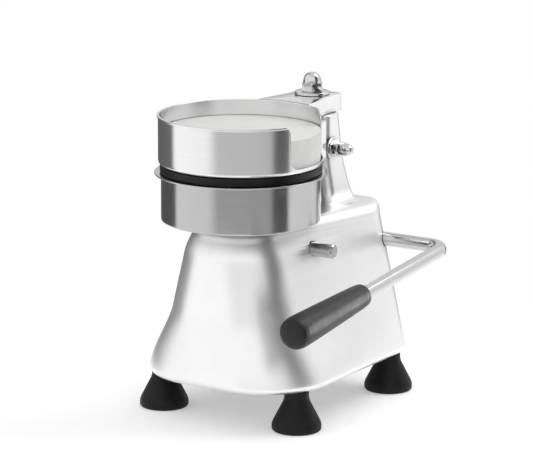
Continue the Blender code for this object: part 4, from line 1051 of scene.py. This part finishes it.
# ---- lever -------------------------------------------------------------------------------------
ROD_R = 6.0
ELBOW_R = 14.0
LEVER_DROP_DEG = 5.5
LEVER_LENGTH = 245.2
GRIP_LENGTH = 108.5
ARM_X = span("lever_rod", 0)[1] - ROD_R
DROP = math.radians(LEVER_DROP_DEG)
ARM_DIRECTION = Vector((0.0, -math.cos(DROP), -math.sin(DROP)))


def lever_piece():
    """Bent round bar: straight shaft, tight elbow, arm."""
    shaft = centre_mm("shaft_bush_right")
    low = span("lever_rod", 0)[0]
    forward = Vector((1.0, 0.0, 0.0))
    corner = Vector((ARM_X, shaft.y, shaft.z))
    start = Vector((low, shaft.y, shaft.z))
    stations = [(start, forward, ROD_R - 0.8), (start + forward * 0.8, forward, ROD_R)]
    bend = corner - forward * ELBOW_R + ARM_DIRECTION * ELBOW_R
    for k in range(33):
        angle = math.radians(90.0) * k / 32
        point = bend + (forward * math.sin(angle) - ARM_DIRECTION * math.cos(angle)) * ELBOW_R
        heading = forward * math.cos(angle) + ARM_DIRECTION * math.sin(angle)
        stations.append((point, heading, ROD_R))
    end = corner + ARM_DIRECTION * (LEVER_LENGTH - 12.0)
    stations.append((end, ARM_DIRECTION, ROD_R))
    stations.append((end + ARM_DIRECTION * 1.2, ARM_DIRECTION, ROD_R - 1.2))
    across = forward.cross(ARM_DIRECTION)
    rings = []
    for point, heading, radius in stations:
        side = across.cross(heading)
        ring = []
        for k in range(SMALL_SEGMENTS):
            angle = 2.0 * math.pi * k / SMALL_SEGMENTS
            ring.append(at(*(point + (side * math.cos(angle) + across * math.sin(angle)) * radius)))
        rings.append(ring)
    return stand_for(loft("lever_rod_fine", rings), "lever_rod", ROD_FINISH)


def grip_piece():
    """Tapered black grip with a rounded outer end."""
    shaft = centre_mm("shaft_bush_right")
    inner = LEVER_LENGTH - GRIP_LENGTH
    outer = LEVER_LENGTH
    profile = [
        (0.0, outer - 9.5),
        (6.3, outer - 10.0),
        (6.3, inner),
        (8.4, inner, 0.8),
        (9.6, inner + 1.6, 2.0),
        (10.2, inner + 8.0, 14.0),
        (11.0, inner + 28.0, 40.0),
        (12.0, inner + 54.0, 60.0),
        (12.9, inner + 80.0, 40.0),
        (13.4, inner + 95.0, 20.0),
        (13.3, inner + 101.0, 8.0),
        (12.6, inner + 105.0, 4.0),
        (11.0, inner + 107.4, 3.0),
        (8.6, outer, 3.0),
        (4.5, outer + 0.7, 6.0),
        (0.0, outer + 0.9),
    ]
    grip = turned("hand_grip_fine", profile, 96, steps=6)
    tilt = Vector((0.0, 0.0, 1.0)).rotation_difference(ARM_DIRECTION).to_matrix().to_4x4()
    pivot = Matrix.Translation(at(ARM_X, shaft.y, shaft.z))
    grip.data.transform(pivot @ tilt @ Matrix.Translation(-ORIGIN))
    return stand_for(grip, "hand_grip")


# ---- pieces that keep their CAD shape ----------------------------------------------------------
def dress_kept_nodes():
    """Give every CAD node that still shows its procedural finish and softened edges."""
    for name, item in frame["nodes"].items():
        if item.hide_render:
            continue
        item.data.materials.clear()
        item.data.materials.append(FINISHES[SLOT_OF[name]])
        weld = item.modifiers.new("weld", "WELD")
        weld.merge_threshold = WELD
        soften(item, 0.15)
        item.data.shade_smooth()


# ---- studio ------------------------------------------------------------------------------------
FLOOR_R = 470.0
FLOOR_GLOW = 0.32
OVERHEAD = 0.8
# Brightness of the surroundings as (degrees from the front, brightness) stops: below the
# horizon, along it, and above it.
CARDS = (
    (
        (-180.0, 0.20),
        (-150.0, 0.12),
        (-78.0, 0.12),
        (-73.0, 1.10),
        (-14.0, 1.0),
        (0.0, 0.52),
        (76.0, 0.48),
        (82.0, 0.08),
        (103.0, 0.08),
        (108.0, 1.10),
        (168.0, 1.0),
        (180.0, 0.20),
    ),
    (
        (-180.0, 0.60),
        (-150.0, 0.40),
        (-110.0, 0.20),
        (-85.0, 0.50),
        (-70.0, 1.0),
        (-14.0, 1.0),
        (10.0, 0.90),
        (66.0, 0.80),
        (79.0, 0.10),
        (108.0, 0.10),
        (118.0, 0.70),
        (165.0, 0.80),
        (180.0, 0.60),
    ),
    (
        (-180.0, 0.85),
        (-136.0, 0.80),
        (-126.0, 0.30),
        (-105.0, 0.30),
        (-85.0, 0.90),
        (-70.0, 1.05),
        (58.0, 1.05),
        (72.0, 0.85),
        (79.0, 0.06),
        (108.0, 0.06),
        (116.0, 0.90),
        (165.0, 1.0),
        (180.0, 0.85),
    ),
)
CAMERA_AZIMUTH = math.radians(32.768)
CAMERA_ELEVATION = math.radians(12.745)
CAMERA_ROLL = math.radians(0.145)
CAMERA_DISTANCE = 2.5
CAMERA_LENS = 202.86
AIM = (17.822, 11.471, 160.475)


def camera():
    """Camera at the product view's angle, level to within a fraction of a degree."""
    data = bpy.data.cameras.new("camera")
    data.lens = CAMERA_LENS
    data.sensor_width = 36.0
    data.clip_start = 0.1
    data.clip_end = 60.0
    item = bpy.data.objects.new("camera", data)
    bpy.context.scene.collection.objects.link(item)
    back = Vector(
        (
            math.sin(CAMERA_AZIMUTH) * math.cos(CAMERA_ELEVATION),
            -math.cos(CAMERA_AZIMUTH) * math.cos(CAMERA_ELEVATION),
            math.sin(CAMERA_ELEVATION),
        )
    )
    item.location = at(*AIM) + back * CAMERA_DISTANCE
    item.rotation_mode = "QUATERNION"
    level = (-back).to_track_quat("-Z", "Y")
    item.rotation_quaternion = level @ Quaternion((0.0, 0.0, 1.0), CAMERA_ROLL)
    bpy.context.scene.camera = item


def floor():
    """Plain pale round table under the press."""
    profile = [(0.0, -30.0), (FLOOR_R, -30.0), (FLOOR_R, -0.2, 12.0), (0.0, -0.2)]
    item = turned("floor", profile, 256)
    material, tree, shader = principled("floor", 0.0, {"Specular IOR Level": 0.15})
    cloud = noise(tree, object_place(tree), 1.5, 2.0)
    tint = mixed(tree, cloud, (*grey(0.84), 1.0), (*grey(0.86), 1.0))
    tree.links.new(tint, shader.inputs["Base Color"])
    shader.inputs["Roughness"].default_value = 0.8
    shader.inputs["Emission Color"].default_value = (1.0, 1.0, 1.0, 1.0)
    shader.inputs["Emission Strength"].default_value = FLOOR_GLOW
    item.data.materials.append(material)


def area_light(name, spot, aim, size, power, lit_pieces=()):
    """Soft rectangular light that isn't seen directly; it lights everything or lit_pieces alone."""
    data = bpy.data.lights.new(name, "AREA")
    data.shape = "RECTANGLE"
    data.size, data.size_y = size
    data.energy = power
    item = bpy.data.objects.new(name, data)
    item.location = spot
    item.rotation_mode = "QUATERNION"
    item.rotation_quaternion = (Vector(aim) - Vector(spot)).to_track_quat("-Z", "Y")
    item.visible_camera = False
    bpy.context.scene.collection.objects.link(item)
    if lit_pieces:
        lit = bpy.data.collections.new(f"{name}_lights")
        for piece in lit_pieces:
            lit.objects.link(bpy.data.objects[piece])
        item.light_linking.receiver_collection = lit


def cards(tree, turn, table):
    """Brightness around the compass from (degrees from the front, brightness) stops."""
    return ramp(tree, turn, [((degrees + 180.0) / 360.0, grey(value)) for degrees, value in table])


def surroundings():
    """White backdrop for the camera; broad bright and dark cards for everything else."""
    world = bpy.data.worlds.new("studio")
    world.use_nodes = True
    tree = world.node_tree
    tree.nodes.clear()
    direction = node(tree, "ShaderNodeTexCoord").outputs["Generated"]
    split = node(tree, "ShaderNodeSeparateXYZ", None, {0: direction})
    x, y, z = (split.outputs[i] for i in range(3))
    forward = math_node(tree, "MULTIPLY", y, -1.0)
    compass = math_node(tree, "ARCTAN2", x, forward)
    turn = ranged(tree, compass, 0.0, 1.0, -math.pi, math.pi)
    low_cards, middle_cards, high_cards = (cards(tree, turn, t) for t in CARDS)
    lower = mixed(tree, ranged(tree, z, 0.0, 1.0, -0.05, 0.03), low_cards, middle_cards)
    walls = mixed(tree, ranged(tree, z, 0.0, 1.0, 0.08, 0.20), lower, high_cards)
    overhead = ranged(tree, z, 0.0, 1.0, 0.72, 0.9)
    dome = mixed(tree, overhead, walls, (*grey(OVERHEAD), 1.0))
    seen = node(tree, "ShaderNodeLightPath").outputs["Is Camera Ray"]
    colour = mixed(tree, seen, dome, (1.0, 1.0, 1.0, 1.0))
    background = node(tree, "ShaderNodeBackground", None, {"Color": colour, "Strength": 1.0})
    output = node(tree, "ShaderNodeOutputWorld")
    tree.links.new(background.outputs[0], output.inputs["Surface"])
    bpy.context.scene.world = world


def studio():
    """Floor, lights, surroundings and camera."""
    floor()
    surroundings()
    area_light("key_light", (0.9, 1.1, 1.9), (0.0, 0.0, 0.1), (1.2, 1.2), 14.0)
    # Gives the grip the sheen along its side; the cards that suit the metal leave it too dark.
    grip_side = (0.1, -0.1, 0.09)
    area_light("grip_light", (0.75, 0.95, 0.12), grip_side, (0.9, 0.8), 9.5, ["hand_grip_fine"])
    camera()
    bpy.context.scene.view_settings.view_transform = "Standard"


def dress():
    """Build every fine piece, then finish the nodes that keep their CAD shape."""
    body_piece()
    for name in BODY_OF:
        if name.startswith("foot_") and not name.startswith("foot_bolt"):
            foot_piece(name)
    mould_piece()
    fulcrum_piece()
    washer_piece("clamp_washer_left", 9.3, 4.3, "X")
    washer_piece("clamp_washer_right", 9.3, 4.3, "X")
    washer_piece("thrust_washer", 15.0, 8.3, "Z", 0.1)
    washer_piece("pivot_washer", 15.0, 5.3, "Z", 0.5)
    acorn_piece("clamp_acorn_nut", 13.0, 6.5, 4.3, "X")
    acorn_piece("pivot_acorn_nut", 17.0, 7.0, 5.3, "Z")
    clamp_bolt_piece()
    arm_piece()
    cup_piece()
    upper_plate_piece()
    lower_plate_piece()
    paper_piece()
    lever_piece()
    grip_piece()
    dress_kept_nodes()


dress()
studio()
